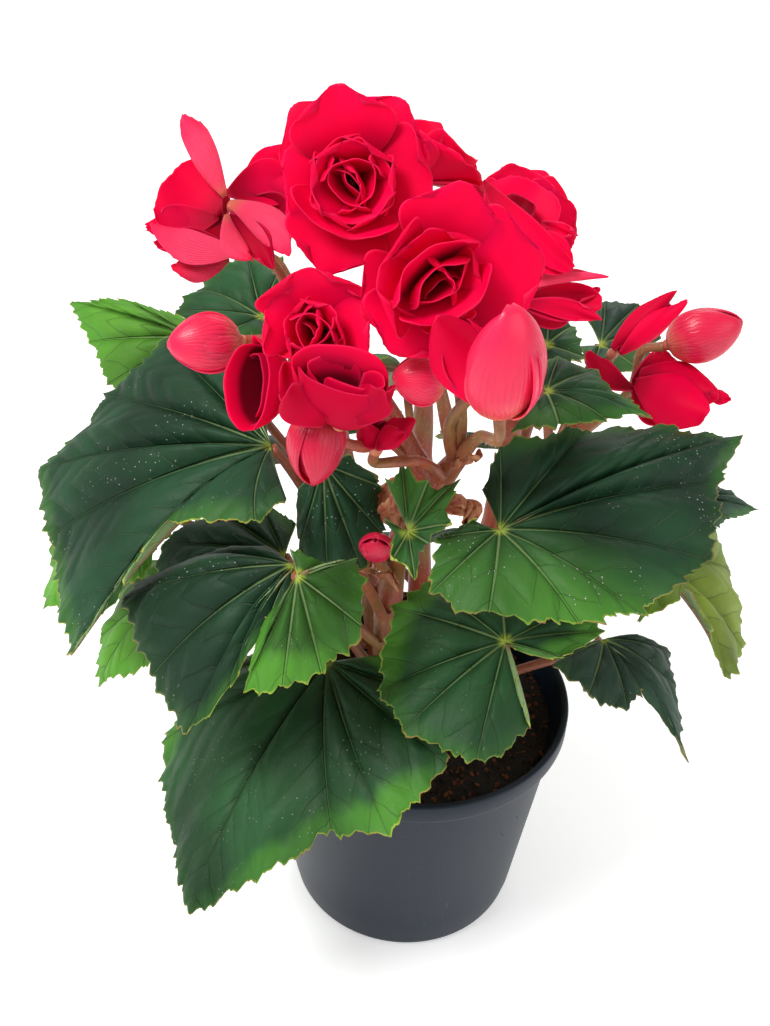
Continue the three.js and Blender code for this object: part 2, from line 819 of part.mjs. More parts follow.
// One petal: a sheet along an arc that leans out from the flower's axis, narrow at its root and cupped
// across. Its outer corners are drawn back.
function petalSolid(base, axis, [spin, leanRoot, leanTip, length, width, cup]) {
  const up = UP.clone().projectOnPlane(axis).normalize();
  const right = up.clone().cross(axis);
  const turn = radians(spin);
  const outward = up.multiplyScalar(Math.cos(turn)).addScaledVector(right, Math.sin(turn));
  const across = axis.clone().cross(outward);
  const lean = (along) => radians(lerp(leanRoot, leanTip, along));
  const sunk = HEART_RADIUS - PETAL_ROOT_DEPTH;
  const reach = length - sunk;
  const root = base
    .clone()
    .addScaledVector(outward, sunk * Math.sin(lean(0)))
    .addScaledVector(axis, sunk * Math.cos(lean(0)));
  const centre = (along) => {
    const sum = root.clone();
    const piece = (along * reach) / PETAL_ARC_PIECES;
    for (let i = 0; i < PETAL_ARC_PIECES; i++) {
      const angle = lean((along * (i + 0.5)) / PETAL_ARC_PIECES);
      sum.addScaledVector(outward, Math.sin(angle) * piece);
      sum.addScaledVector(axis, Math.cos(angle) * piece);
    }
    return sum;
  };
  const columns = width > BROAD_PETAL ? [-1, -BROAD_COLUMN, BROAD_COLUMN, 1] : [-1, 0, 1];
  const rows = [0, 0.5, 1];
  const points = [];
  const backs = [];
  for (const side of columns) {
    for (const row of rows) {
      const along = row - PETAL_CORNER * Math.abs(side) ** 2.5 * row ** 3;
      const inner = outward
        .clone()
        .multiplyScalar(-Math.cos(lean(along)))
        .addScaledVector(axis, Math.sin(lean(along)));
      const half = (petalWidth(row) * width) / 2;
      points.push(
        centre(along)
          .addScaledVector(across, side * half)
          .addScaledVector(inner, cup * half * side * side * lerp(CUP_AT_ROOT, 1, row)),
      );
      backs.push(inner.multiplyScalar(-PETAL));
    }
  }
  const n = rows.length;
  const faces = [];
  for (let i = 0; i < columns.length - 1; i++) {
    for (let j = 0; j < n - 1; j++) {
      const a = i * n + j;
      faces.push([a, a + 1, a + n + 1], [a, a + n + 1, a + n]);
    }
  }
  const last = (columns.length - 1) * n;
  const rim = [
    ...rows.map((_, j) => j),
    ...columns.slice(1, -1).map((_, i) => (i + 1) * n + n - 1),
    ...rows.map((_, j) => last + n - 1 - j),
    ...columns.slice(1, -1).map((_, i) => last - (i + 1) * n),
  ];
  return thicken(points, faces, rim, backs);
}

// The small heart of a flower, or the packed inner petals of a bud, which the petals stand out of.
function heartSolid(base, axis, [radius, length]) {
  const ball = radius > HEART_RADIUS ? new THREE.SphereGeometry(1, 6, 4) : new THREE.IcosahedronGeometry(1);
  ball.rotateX(Math.PI / 2);
  ball.scale(radius, radius, length / 2);
  ball.translate(0, 0, length / 2 - HEART_RADIUS);
  ball.applyQuaternion(new THREE.Quaternion().setFromUnitVectors(UP, axis));
  ball.translate(...base.toArray());
  return solidOfGeometry(ball);
}

function flowerSolid(flower) {
  const base = v3(flower.base);
  const axis = compass(flower.faces);
  const core = flower.core ?? [HEART_RADIUS, 2 * HEART_RADIUS];
  return grownTogether([
    heartSolid(base, axis, core),
    ...flower.petals.map((petal) => petalSolid(base, axis, petal)),
  ]);
}

// ---- Stems ----

// A flower stalk follows its own points and ends just short of the flower's heart, from behind it.
function flowerStalk({ to, line }) {
  const flower = [...FLOWERS, ...BUDS].find(({ name }) => name === to);
  const axis = compass(flower.faces);
  const end = v3(flower.base).addScaledVector(axis, -HEART_RADIUS - GAP);
  const near = v3(flower.base).addScaledVector(axis, -HEART_RADIUS - FLOWER_STALK_STRAIGHT);
  const points = [...line.map(v3), near, end];
  return stalk(points, FLOWER_STALK_RADII, FLOWER_STALK_SIDES, FLOWER_STALK_STEPS);
}

function stemSolid({ line, radii, stalks }) {
  return grownTogether([
    stalk(line.map(v3), radii, STEM_SIDES, line.length + 1),
    ...stalks.map(flowerStalk),
  ]);
}

// ---- Pot and soil ----

// The wall's outer radius at a height below the rim band.
function wallRadius(height) {
  return lerp(FOOT_RADIUS, RIM_RADIUS - RIM_STEP, height / (POT_HEIGHT - RIM_BAND));
}

function potSolid() {
  const band = POT_HEIGHT - RIM_BAND;
  const foot = new THREE.Vector2(FOOT_RADIUS - FOOT_ROUNDING, 0);
  const round = [0, 1, 2].map((i) => {
    const turn = (i / 2) * (Math.PI / 2);
    return new THREE.Vector2(
      foot.x + FOOT_ROUNDING * Math.sin(turn),
      FOOT_ROUNDING * (1 - Math.cos(turn)),
    );
  });
  const profile = [
    new THREE.Vector2(0, 0),
    new THREE.Vector2(PAD_RADIUS, 0),
    new THREE.Vector2(PAD_RADIUS + SLOT_HEIGHT, SLOT_HEIGHT),
    new THREE.Vector2(FOOT_RING_INSIDE, SLOT_HEIGHT),
    new THREE.Vector2(FOOT_RING_INSIDE, 0),
    ...round,
    new THREE.Vector2(wallRadius(band), band),
    new THREE.Vector2(RIM_RADIUS, band),
    new THREE.Vector2(RIM_RADIUS, POT_HEIGHT - RIM_EDGE),
    new THREE.Vector2(RIM_RADIUS - RIM_EDGE, POT_HEIGHT),
    new THREE.Vector2(RIM_RADIUS - WALL - RIM_EDGE, POT_HEIGHT),
    new THREE.Vector2(RIM_RADIUS - WALL - RIM_STEP, band),
    new THREE.Vector2(FOOT_RADIUS - WALL - RIM_EDGE, SLOT_HEIGHT + FLOOR),
    new THREE.Vector2(0, SLOT_HEIGHT + FLOOR),
  ];
  const body = new THREE.LatheGeometry(profile, POT_SEGMENTS);
  body.rotateX(Math.PI / 2);
  let pot = solidOfGeometry(body);
  for (let i = 0; i < FOOT_SLOTS; i++) {
    const slot = new THREE.BoxGeometry(SLOT_LENGTH, SLOT_WIDTH, SLOT_HEIGHT);
    slot.translate(FOOT_RADIUS - FOOT_ROUNDING, 0, SLOT_HEIGHT / 2 - 0.01);
    slot.rotateZ(((i + 0.5) / FOOT_SLOTS) * 2 * Math.PI);
    pot = pot.subtract(solidOfGeometry(slot));
  }
  return pot;
}

// Soil that fills the pot to a little below its rim, lumpy on top, with a plain hole for each stem.
function soilSolid() {
  const random = seededRandom(11);
  const inner = (height) => wallRadius(height) - WALL - GAP - SOIL_SHRINK;
  const bottom = SLOT_HEIGHT + FLOOR + GAP;
  const points = [new THREE.Vector3(0, 0, SOIL_TOP)];
  for (let ring = 1; ring <= SOIL_RINGS; ring++) {
    const radius = (inner(SOIL_TOP) * ring) / SOIL_RINGS;
    for (let i = 0; i < POT_SEGMENTS / 2; i++) {
      const turn = ((i + (ring % 2) / 2) / (POT_SEGMENTS / 2)) * 2 * Math.PI;
      const bump = ring === SOIL_RINGS ? 0 : SOIL_BUMP * (2 * random() - 1);
      points.push(new THREE.Vector3(radius * Math.cos(turn), radius * Math.sin(turn), SOIL_TOP + bump));
    }
  }
  const n = POT_SEGMENTS / 2;
  const lastRing = 1 + (SOIL_RINGS - 1) * n;
  const floorRing = points.length;
  for (let i = 0; i < n; i++) {
    const top = points[lastRing + i];
    const radius = inner(bottom) - SOIL_FOOT_INSET;
    points.push(new THREE.Vector3(top.x, top.y, 0).setLength(radius).setZ(bottom));
  }
  const faces = [];
  for (let i = 0; i < n; i++) faces.push([0, 1 + i, 1 + ((i + 1) % n)]);
  for (let ring = 1; ring <= SOIL_RINGS; ring++) {
    const here = 1 + (ring - 1) * n;
    const next = here + n;
    for (let i = 0; i < n; i++) {
      const j = (i + 1) % n;
      faces.push([here + i, next + i, next + j], [here + i, next + j, here + j]);
    }
  }
  for (let i = 1; i < n - 1; i++) faces.push([floorRing, floorRing + i + 1, floorRing + i]);
  let soil = solidOfPoints(points, faces);
  for (const { line, radii } of STEMS) {
    const depth = SOIL_TOP + 2 * SOIL_BUMP - STEM_HOLE_FLOOR;
    const radius = radii[0] + STEM_HOLE_PLAY;
    const hole = new THREE.CylinderGeometry(radius, radius, depth, STEM_HOLE_SIDES);
    hole.rotateX(Math.PI / 2);
    hole.translate(line[0][0], line[0][1], STEM_HOLE_FLOOR + depth / 2);
    soil = soil.subtract(solidOfGeometry(hole));
  }
  return soil;
}

// ---- The scene graph ----

const begonia = new THREE.Group();
begonia.name = "potted_begonia";

function addPiece(name, made, colour, roughness) {
  const material = new THREE.MeshStandardMaterial({ color: COLOURS[colour], roughness, metalness: 0 });
  const mesh = new THREE.Mesh(geometryOf(made), material);
  mesh.name = name;
  begonia.add(mesh);
}

addPiece("pot", potSolid(), "pot", 0.45);
addPiece("soil", soilSolid(), "soil", 0.95);
for (const stem of STEMS) addPiece(stem.name, stemSolid(stem), "stem", 0.6);
for (const leaf of LEAVES) addPiece(leaf.name, leafSolid(leaf), leaf.tone, 0.6);
for (const leaf of BACK_LEAVES) {
  addPiece(leaf.name, leafSolid({ ...leaf, tips: backTips(leaf) }), leaf.tone, 0.6);
}
for (const flower of FLOWERS) addPiece(flower.name, flowerSolid(flower), "petal", 0.55);
for (const bud of BUDS) addPiece(bud.name, flowerSolid(bud), "bud", 0.5);

export default begonia;
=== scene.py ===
"""Potted begonia: a double red begonia in a dark plastic nursery pot.

The tables and the sizes below are in millimetres, in the part's own frame, and the meshes are in metres.
"""

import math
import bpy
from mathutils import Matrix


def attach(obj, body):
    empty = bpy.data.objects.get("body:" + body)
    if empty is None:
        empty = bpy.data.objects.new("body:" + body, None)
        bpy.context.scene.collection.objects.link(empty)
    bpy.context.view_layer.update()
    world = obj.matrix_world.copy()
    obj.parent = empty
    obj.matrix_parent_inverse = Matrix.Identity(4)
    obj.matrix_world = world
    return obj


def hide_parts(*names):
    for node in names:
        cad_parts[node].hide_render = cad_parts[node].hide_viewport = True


bl_info = {
    "name": "Potted Begonia",
    "version": (1, 0, 0),
    "blender": (4, 5, 0),
    "location": "View3D > Sidebar > Begonia",
    "description": "Grows a double red begonia in a nursery pot, leaf by leaf and petal by petal",
    "category": "Add Mesh",
}

import bpy
import numpy as np
from bpy.props import FloatProperty, FloatVectorProperty, IntProperty, PointerProperty
from mathutils import Matrix, Vector

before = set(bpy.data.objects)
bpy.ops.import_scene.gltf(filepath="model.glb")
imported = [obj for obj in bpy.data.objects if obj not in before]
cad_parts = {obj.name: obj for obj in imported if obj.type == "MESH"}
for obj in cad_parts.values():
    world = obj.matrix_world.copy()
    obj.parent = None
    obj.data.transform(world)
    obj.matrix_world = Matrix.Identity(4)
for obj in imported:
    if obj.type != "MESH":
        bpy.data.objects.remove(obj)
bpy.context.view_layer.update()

MM = 0.001
BODY = "root"


def srgb(code):
    """A colour written as six hexadecimal digits, in the linear values that shaders take."""
    shares = [int(code[i : i + 2], 16) / 255 for i in (0, 2, 4)]
    return tuple(s / 12.92 if s <= 0.04045 else ((s + 0.055) / 1.055) ** 2.4 for s in shares)


# ---- The plant's pieces, each placed as it grows (mm) ----

# The stems: the line that each follows, its radii, and the lines of its flower stalks up to their blooms.
STEMS = {
    "stem_front": {
        "line": [
            [-8, -10, 79], [-8, -10, 92], [-11, -14, 125], [-12, -20, 165], [-8, -29, 197], [1, -37, 222],
            [7, -43, 237],
        ],
        "radii": [5.5, 5.5, 5.2, 4.8, 4.4, 3.8, 3.2],
        "stalks": {
            "flower_top": [[5, -41, 233], [-6, -32, 268]],
            "flower_centre": [[5, -41, 233], [4, -52, 262]],
            "bud_large": [[6, -42, 235], [10, -60, 253]],
            "flower_lower": [[0, -36, 220], [-16, -46, 250]],
            "flower_lip": [[0, -36, 220], [-14, -42, 238], [-22, -62, 249]],
            "bud_hanging": [[0, -36, 220], [-16, -48, 256], [-24, -56, 272]],
            "bud_cluster": [[2, -38, 224], [-6, -54, 240]],
            "bud_small_red": [[-12, -22, 172], [-15, -34, 186]],
            "bud_inner": [[5, -41, 233], [2, -52, 252]],
        },
    },
    "stem_right": {
        "line": [
            [12, -5, 79], [12, -5, 92], [15, -7, 125], [20, -12, 175], [23, -18, 220], [23, -20, 250],
        ],
        "radii": [4.8, 4.8, 4.6, 4.2, 3.4, 2.6],
        "stalks": {
            "flower_right": [[23, -20, 247], [20, -22, 275]],
            "flower_right_low": [[23, -20, 247], [19, -24, 266]],
        },
    },
    "stem_left": {
        "line": [
            [-13, 11, 79], [-13, 11, 92], [-17, 12, 125], [-26, 10, 180], [-36, 4, 225], [-44, -8, 252],
        ],
        "radii": [4.6, 4.6, 4.4, 4, 3.2, 2.4],
        "stalks": {
            "flower_left": [[-43, -6, 248], [-50, -4, 272]],
            "flower_far_left": [[-40, -2, 240], [-52, 12, 268]],
            "flower_left_low": [[-43, -6, 248], [-44, -30, 258]],
            "bud_left": [[-43, -6, 248], [-48, -24, 260]],
        },
    },
    "stem_back_right": {
        "line": [[15, 15, 79], [15, 15, 92], [22, 19, 125], [38, 25, 175], [52, 26, 205]],
        "radii": [4.4, 4.4, 4.2, 3.6, 2.8],
        "stalks": {
            "flower_far_right": [[50, 26, 201], [60, 18, 218]],
            "bud_far_right_left": [[51, 26, 203], [52, 34, 215]],
            "bud_far_right": [[50, 26, 201], [68, 28, 220]],
        },
    },
    "stem_back": {
        "line": [[0, 23, 79], [0, 23, 92], [0, 26, 125], [-2, 28, 180], [-4, 28, 230], [-5, 24, 256]],
        "radii": [4.6, 4.6, 4.4, 4, 3.2, 2.6],
        "stalks": {
            "flower_back": [[-5, 25, 252], [-6, 14, 286]],
            "flower_back_left": [[-4, 27, 240], [-22, 44, 262]],
            "flower_back_right": [[-4, 28, 236], [18, 46, 256]],
        },
    },
}

# The leaves: tone, where the stalk meets the blade, the stem and the height that the stalk starts from, the
# blade's tips from where the stalk meets it and, for some, a point that the stalk bends through.
LEAVES = {
    "leaf_right_large": {
        "tone": "dark", "heart": [19, -55, 218], "foot": ["stem_right", 186],
        "tips": [
            [-9, 2, 2], [-19, -6, 0], [-20, -25, -5], [-4, -32, -7], [22, -30, -9], [40, -22, -11],
            [64, 1, -8], [73, 35, -2], [83, 56, 3], [29, 39, 14], [0, 27, 13], [-5, 12, 6],
        ],
    },
    "leaf_front_round": {
        "tone": "green", "heart": [27, -42, 163], "foot": ["stem_right", 124],
        "tips": [
            [4, -3, -1], [20, -6, -1], [33, 2, 5], [27, 11, 9], [-2, 22, 11], [-28, 21, 7], [-38, 12, 2],
            [-42, -14, -12], [-33, -29, -14], [-10, -41, -16], [8, -27, -13], [3, -15, -7],
        ],
    },
    "leaf_front_left_low": {
        "tone": "green", "heart": [-32, -32, 141], "foot": ["stem_front", 104],
        "tips": [
            [-15, 15, -4], [-43, 20, -25], [-62, 0, -45], [-42, -65, -57], [5, -53, -26], [23, -60, -17],
            [42, -44, -2], [35, -22, 6], [20, -5, 9],
        ],
    },
    "leaf_left_large": {
        "tone": "dark", "heart": [-52, -22, 222], "foot": ["stem_front", 165],
        "tips": [
            [-5, 20, 5], [-22, 57, 11], [-46, 69, 0], [-65, 54, -17], [-90, 40, -42], [-79, 11, -50],
            [-61, -38, -61], [-32, -22, -16], [-2, -36, -3], [8, -27, -2],
        ],
    },
    "leaf_left_middle": {
        "tone": "dark", "heart": [-42, -55, 201], "foot": ["stem_front", 142],
        "bend": [-36, -38, 178],
        "tips": [
            [-12, 29, -15], [-39, 38, -29], [-58, 14, -29], [-44, -11, -38], [-30, -30, -48],
            [-19, -26, -31], [-8, -16, -16], [3, -8, -6],
        ],
    },
    "leaf_front_bright": {
        "tone": "bright", "heart": [-40, -64, 204], "foot": ["stem_front", 158],
        "bend": [-23, -50, 194],
        "tips": [
            [-10, -7, -13], [-14, -23, -27], [-2, -26, -22], [9, -19, -21], [21, -5, -15], [18, 12, -1],
            [9, 7, 0], [-3, 8, 5],
        ],
    },
    "leaf_left_under": {
        "tone": "dark", "heart": [-49, -12, 171], "foot": ["stem_front", 124],
        "tips": [
            [3, 15, 4], [-12, 30, 2], [-30, 33, -5], [-48, 22, -15], [-50, 4, -23], [-25, -13, -16],
            [0, -13, -8],
        ],
    },
    "leaf_centre_dark": {
        "tone": "dark", "heart": [-35, -30, 222], "foot": ["stem_front", 184],
        "tips": [
            [-9, 1, -12], [-7, -8, -29], [3, -14, -37], [14, -10, -34], [20, -3, -24], [18, 1, -8],
            [8, 5, 1],
        ],
    },
    "leaf_young": {
        "tone": "green", "heart": [-8, -62, 221], "foot": ["stem_front", 194],
        "tips": [
            [-9, 3, 3], [-5, -6, -8], [3, -12, -10], [7, -2, -3], [14, 0, 4], [14, 12, 12], [5, 10, 11],
            [-3, 16, 14], [-7, 11, 9],
        ],
    },
    "leaf_right_upper": {
        "tone": "green", "heart": [32, -22, 247], "foot": ["stem_right", 214],
        "bend": [31, -8, 232],
        "tips": [
            [-12, -19, -4], [3, -17, -2], [18, -10, -2], [33, -6, -5], [26, 5, -4], [17, 19, -3],
            [7, 28, -1], [-4, 14, 0],
        ],
    },
    "leaf_top_left_light": {
        "tone": "light", "heart": [-90, 66, 213], "foot": ["stem_left", 168],
        "tips": [
            [-3, 6, 5], [-30, 19, 5], [-56, 29, -1], [-44, 10, -9], [-34, -5, -20], [-25, -12, -24],
            [-17, -6, -16], [-6, -7, -12],
        ],
    },
    "leaf_top_left_back": {
        "tone": "green", "heart": [-67, 84, 214], "foot": ["stem_left", 190],
        "tips": [
            [10, 6, 5], [6, 29, 11], [-11, 40, 10], [-30, 22, 2], [-36, 4, -2], [-16, -15, -3],
            [3, -14, 0],
        ],
    },
    "leaf_left_far": {
        "tone": "light", "heart": [-105, 30, 160], "foot": ["stem_left", 136],
        "tips": [
            [-8, 19, -2], [-40, 43, -25], [-45, 19, -36], [-43, -14, -44], [-26, -24, -29], [2, -30, -12],
            [10, -15, 0],
        ],
    },
    "leaf_left_low_light": {
        "tone": "light", "heart": [-91, 8, 139], "foot": ["stem_left", 112],
        "tips": [
            [3, 7, 2], [-12, 26, -6], [-27, 24, -19], [-33, 4, -33], [-33, -15, -40], [-11, -23, -21],
            [8, -25, -5],
        ],
    },
    "leaf_right_drooping": {
        "tone": "yellow", "heart": [86, 20, 153], "foot": ["stem_back_right", 122],
        "tips": [
            [-9, -35, -1], [11, -21, 4], [24, -20, -21], [34, -21, -39], [44, 0, -42], [44, 32, -27],
            [31, 47, -9], [11, 32, 1],
        ],
    },
    "leaf_right_back_small": {
        "tone": "grey", "heart": [108, 60, 154], "foot": ["stem_back_right", 146],
        "tips": [[11, -7, -10], [19, 3, -10], [34, 16, -14], [25, 20, -9], [14, 17, -3], [2, 13, 1]],
    },
    "leaf_right_low": {
        "tone": "grey", "heart": [69, 0, 130], "foot": ["stem_right", 108],
        "tips": [
            [-17, -12, 2], [-22, -23, 6], [-8, -28, -2], [8, -27, -11], [14, -13, -12], [35, -23, -37],
            [33, 5, -28], [33, 20, -23], [18, 20, -14],
        ],
    },
    "leaf_right_back": {
        "tone": "grey", "heart": [62, 62, 221], "foot": ["stem_back_right", 178],
        "tips": [
            [-10, -4, 1], [-5, -18, -3], [15, -7, -6], [26, 15, 0], [17, 26, 4], [4, 26, 7], [-5, 15, 5],
        ],
    },
    "leaf_upper_back_dark": {
        "tone": "dark", "heart": [38, 32, 235], "foot": ["stem_back_right", 196],
        "tips": [[-10, -7, -3], [-2, -15, -4], [14, -3, -3], [11, 15, 1], [2, 24, 4], [-9, 13, 2]],
    },
}

# The leaves behind, whose tips come from one pattern: which way each points, how far it droops, its length.
BACK_LEAVES = {
    "leaf_back_left": {
        "tone": "dark", "heart": [-56, 70, 160], "foot": ["stem_back", 132],
        "bearing": 134, "droop": 32, "length": 74,
    },
    "leaf_back_middle": {
        "tone": "green", "heart": [-10, 84, 194], "foot": ["stem_back", 168],
        "bearing": 102, "droop": 38, "length": 68,
    },
    "leaf_back_right": {
        "tone": "dark", "heart": [44, 78, 158], "foot": ["stem_back_right", 132],
        "bearing": 64, "droop": 32, "length": 70,
    },
    "leaf_back_low": {
        "tone": "green", "heart": [2, 66, 122], "foot": ["stem_back", 106],
        "bearing": 98, "droop": 36, "length": 58,
    },
}

# Their veins: the bearing of each from the middle vein, and its length as a share of the leaf's.
BACK_VEINS = [
    [-158, 0.6], [-118, 0.7], [-72, 0.78], [-34, 0.8], [0, 1], [36, 0.72], [78, 0.64], [122, 0.58],
    [160, 0.52],
]

# The blooms, open ones first and buds after: where each starts, and the bearing and height that it faces.
BLOOMS = {
    "flower_top": ([-28, -33, 313], [-88, 20]),
    "flower_centre": ([-6, -57, 298], [-80, 16]),
    "flower_lower": ([-35, -60.5, 282.3], [-94, 30]),
    "flower_lip": ([-26.5, -80, 270.3], [90, 78]),
    "flower_left_low": ([-47.5, -60.5, 268.5], [-122, 12]),
    "flower_far_left": ([-68, 0, 291], [200, 2]),
    "flower_left": ([-63, -11, 298], [-46, -36]),
    "flower_right": ([15, -25, 292], [-34, 55]),
    "flower_right_low": ([19, -27, 278], [-20, -6]),
    "flower_back": ([-10, 2, 302], [40, 50]),
    "flower_far_right": ([66, 11, 234], [-16, -4]),
    "flower_back_left": ([-32, 52, 275], [128, 34]),
    "flower_back_right": ([26, 54, 268], [58, 26]),
    "bud_large": ([12, -86, 277], [-102, 78]),
    "bud_left": ([-59, -42, 269], [200, 4]),
    "bud_hanging": ([-33, -69, 263], [-104, -64]),
    "bud_cluster": ([-11, -62, 253], [-96, 40]),
    "bud_inner": ([-2, -61, 270], [190, 10]),
    "bud_small_red": ([-17, -44, 199], [-95, 60]),
    "bud_far_right_left": ([62.5, 39, 228.5], [-4, 38]),
    "bud_far_right": ([78, 22, 243], [-6, 26]),
}

# The outer petals of the blooms that open towards the viewer or away. Each is [spin round the bloom, lean at
# its root and at its tip in degrees, reach, width, cup].
OUTER_PETALS = {
    "flower_top": [
        [-12, 62, 78, 26, 28, 0.12], [-40, 76, 92, 25, 24, 0.05], [30, 74, 90, 25, 28, 0.05],
        [92, 66, 86, 22, 32, 0.08], [145, 76, 90, 23, 27, 0.05], [196, 68, 84, 25.5, 28, 0.1],
        [238, 78, 92, 20, 24, 0.05], [288, 66, 82, 20, 28, 0.08], [0, 40, 34, 17, 22, 0.35],
        [120, 42, 38, 17, 22, 0.35], [240, 42, 38, 17, 22, 0.35], [60, 16, -6, 13, 14, 0.4],
    ],
    "flower_centre": [
        [16, 66, 84, 26, 28, 0.05], [82, 68, 84, 29, 33, 0.1], [126, 72, 90, 25, 28, 0.05],
        [164, 70, 88, 20, 26, 0.05], [210, 66, 84, 22.5, 28, 0.1], [246, 72, 88, 21, 27, 0.05],
        [-12, 50, 52, 17, 24, 0.25], [278, 54, 56, 19, 30, 0.3], [190, 50, 50, 16, 22, 0.3],
        [104, 42, 38, 16, 20, 0.3], [60, 20, -4, 14, 15, 0.4],
    ],
    "flower_lower": [
        [-12, 58, 62, 18, 28, 0.25], [60, 60, 70, 16.5, 25, 0.15], [176, 64, 78, 9, 20, 0.1],
        [296, 58, 68, 15.5, 23, 0.2], [40, 38, 26, 13, 16, 0.35], [160, 40, 28, 11, 14, 0.35],
        [280, 38, 26, 13, 16, 0.35], [100, 14, -6, 12, 12, 0.4],
    ],
    "flower_back": [
        [0, 58, 70, 22, 24, 0.15], [72, 66, 78, 22, 24, 0.15], [140, 58, 70, 20, 24, 0.15],
        [215, 66, 78, 22, 24, 0.15], [285, 58, 70, 22, 24, 0.15], [20, 20, 0, 14, 14, 0.4],
    ],
    "flower_back_left": [
        [0, 58, 76, 24, 28, 0.12], [70, 66, 84, 23, 26, 0.12], [140, 58, 76, 22, 26, 0.12],
        [212, 66, 84, 23, 26, 0.12], [285, 58, 76, 23, 28, 0.12], [30, 24, 4, 15, 17, 0.35],
    ],
    "flower_back_right": [
        [10, 58, 76, 23, 28, 0.12], [82, 66, 84, 22, 26, 0.12], [150, 58, 76, 22, 26, 0.12],
        [222, 66, 84, 22, 26, 0.12], [295, 58, 76, 22, 28, 0.12], [40, 24, 4, 15, 17, 0.35],
    ],
}

# Petals that fold inside a bloom's outer ones, in the same terms. A seventh number rolls a petal about its
# own length, so that one side tucks under its neighbour.
INNER_PETALS = {
    "flower_top": [
        [196, 54, 44, 17.5, 29, 0.4, 0.0], [62, 46, 34, 15, 22, 0.6, 0.1],
        [178, 46, 34, 15, 22, 0.6, 0.1], [298, 46, 34, 15.5, 22, 0.6, 0.1],
        [0, 36, 10, 13.5, 17, 0.65, 0.12], [125, 36, 10, 13, 17, 0.65, 0.12],
        [238, 34, 8, 13, 17, 0.65, 0.12], [60, 14, -10, 11.5, 11, 0.7, 0.15],
        [240, 14, -10, 11, 11, 0.7, 0.15],
    ],
    "flower_centre": [
        [-34, 40, 24, 17, 26, 0.5, 0.05], [148, 38, 24, 16.5, 26, 0.5, -0.05],
        [-36, 24, 4, 14, 19, 0.5, 0.05], [142, 22, 2, 13, 18, 0.5, -0.05],
        [-30, 8, -8, 10.5, 12, 0.5, 0.0],
    ],
    "flower_lower": [
        [30, 28, 4, 11.5, 14, 0.65, 0.12], [150, 28, 4, 11.5, 14, 0.65, 0.12],
        [270, 28, 4, 11.5, 14, 0.65, 0.12], [60, 6, -12, 9.5, 8, 0.7, 0.15],
    ],
    "flower_back": [
        [30, 44, 36, 17, 24, 0.45, 0.1], [150, 44, 36, 17, 24, 0.45, 0.1],
        [270, 44, 36, 17, 24, 0.45, 0.1], [90, 26, 6, 14, 16, 0.6, 0.15], [210, 26, 6, 14, 16, 0.6, 0.15],
        [330, 26, 6, 14, 16, 0.6, 0.15],
    ],
    "flower_back_left": [
        [30, 46, 38, 19, 26, 0.45, 0.1], [150, 46, 38, 19, 26, 0.45, 0.1],
        [270, 46, 38, 19, 26, 0.45, 0.1], [90, 30, 10, 15, 18, 0.6, 0.15],
        [210, 30, 10, 15, 18, 0.6, 0.15], [330, 30, 10, 15, 18, 0.6, 0.15],
        [100, 10, -10, 11, 11, 0.6, 0.2],
    ],
    "flower_back_right": [
        [40, 46, 38, 19, 26, 0.45, 0.1], [160, 46, 38, 19, 26, 0.45, 0.1],
        [280, 46, 38, 19, 26, 0.45, 0.1], [100, 30, 10, 15, 18, 0.6, 0.15],
        [220, 30, 10, 15, 18, 0.6, 0.15], [340, 30, 10, 15, 18, 0.6, 0.15],
        [100, 10, -10, 11, 11, 0.6, 0.2],
    ],
}

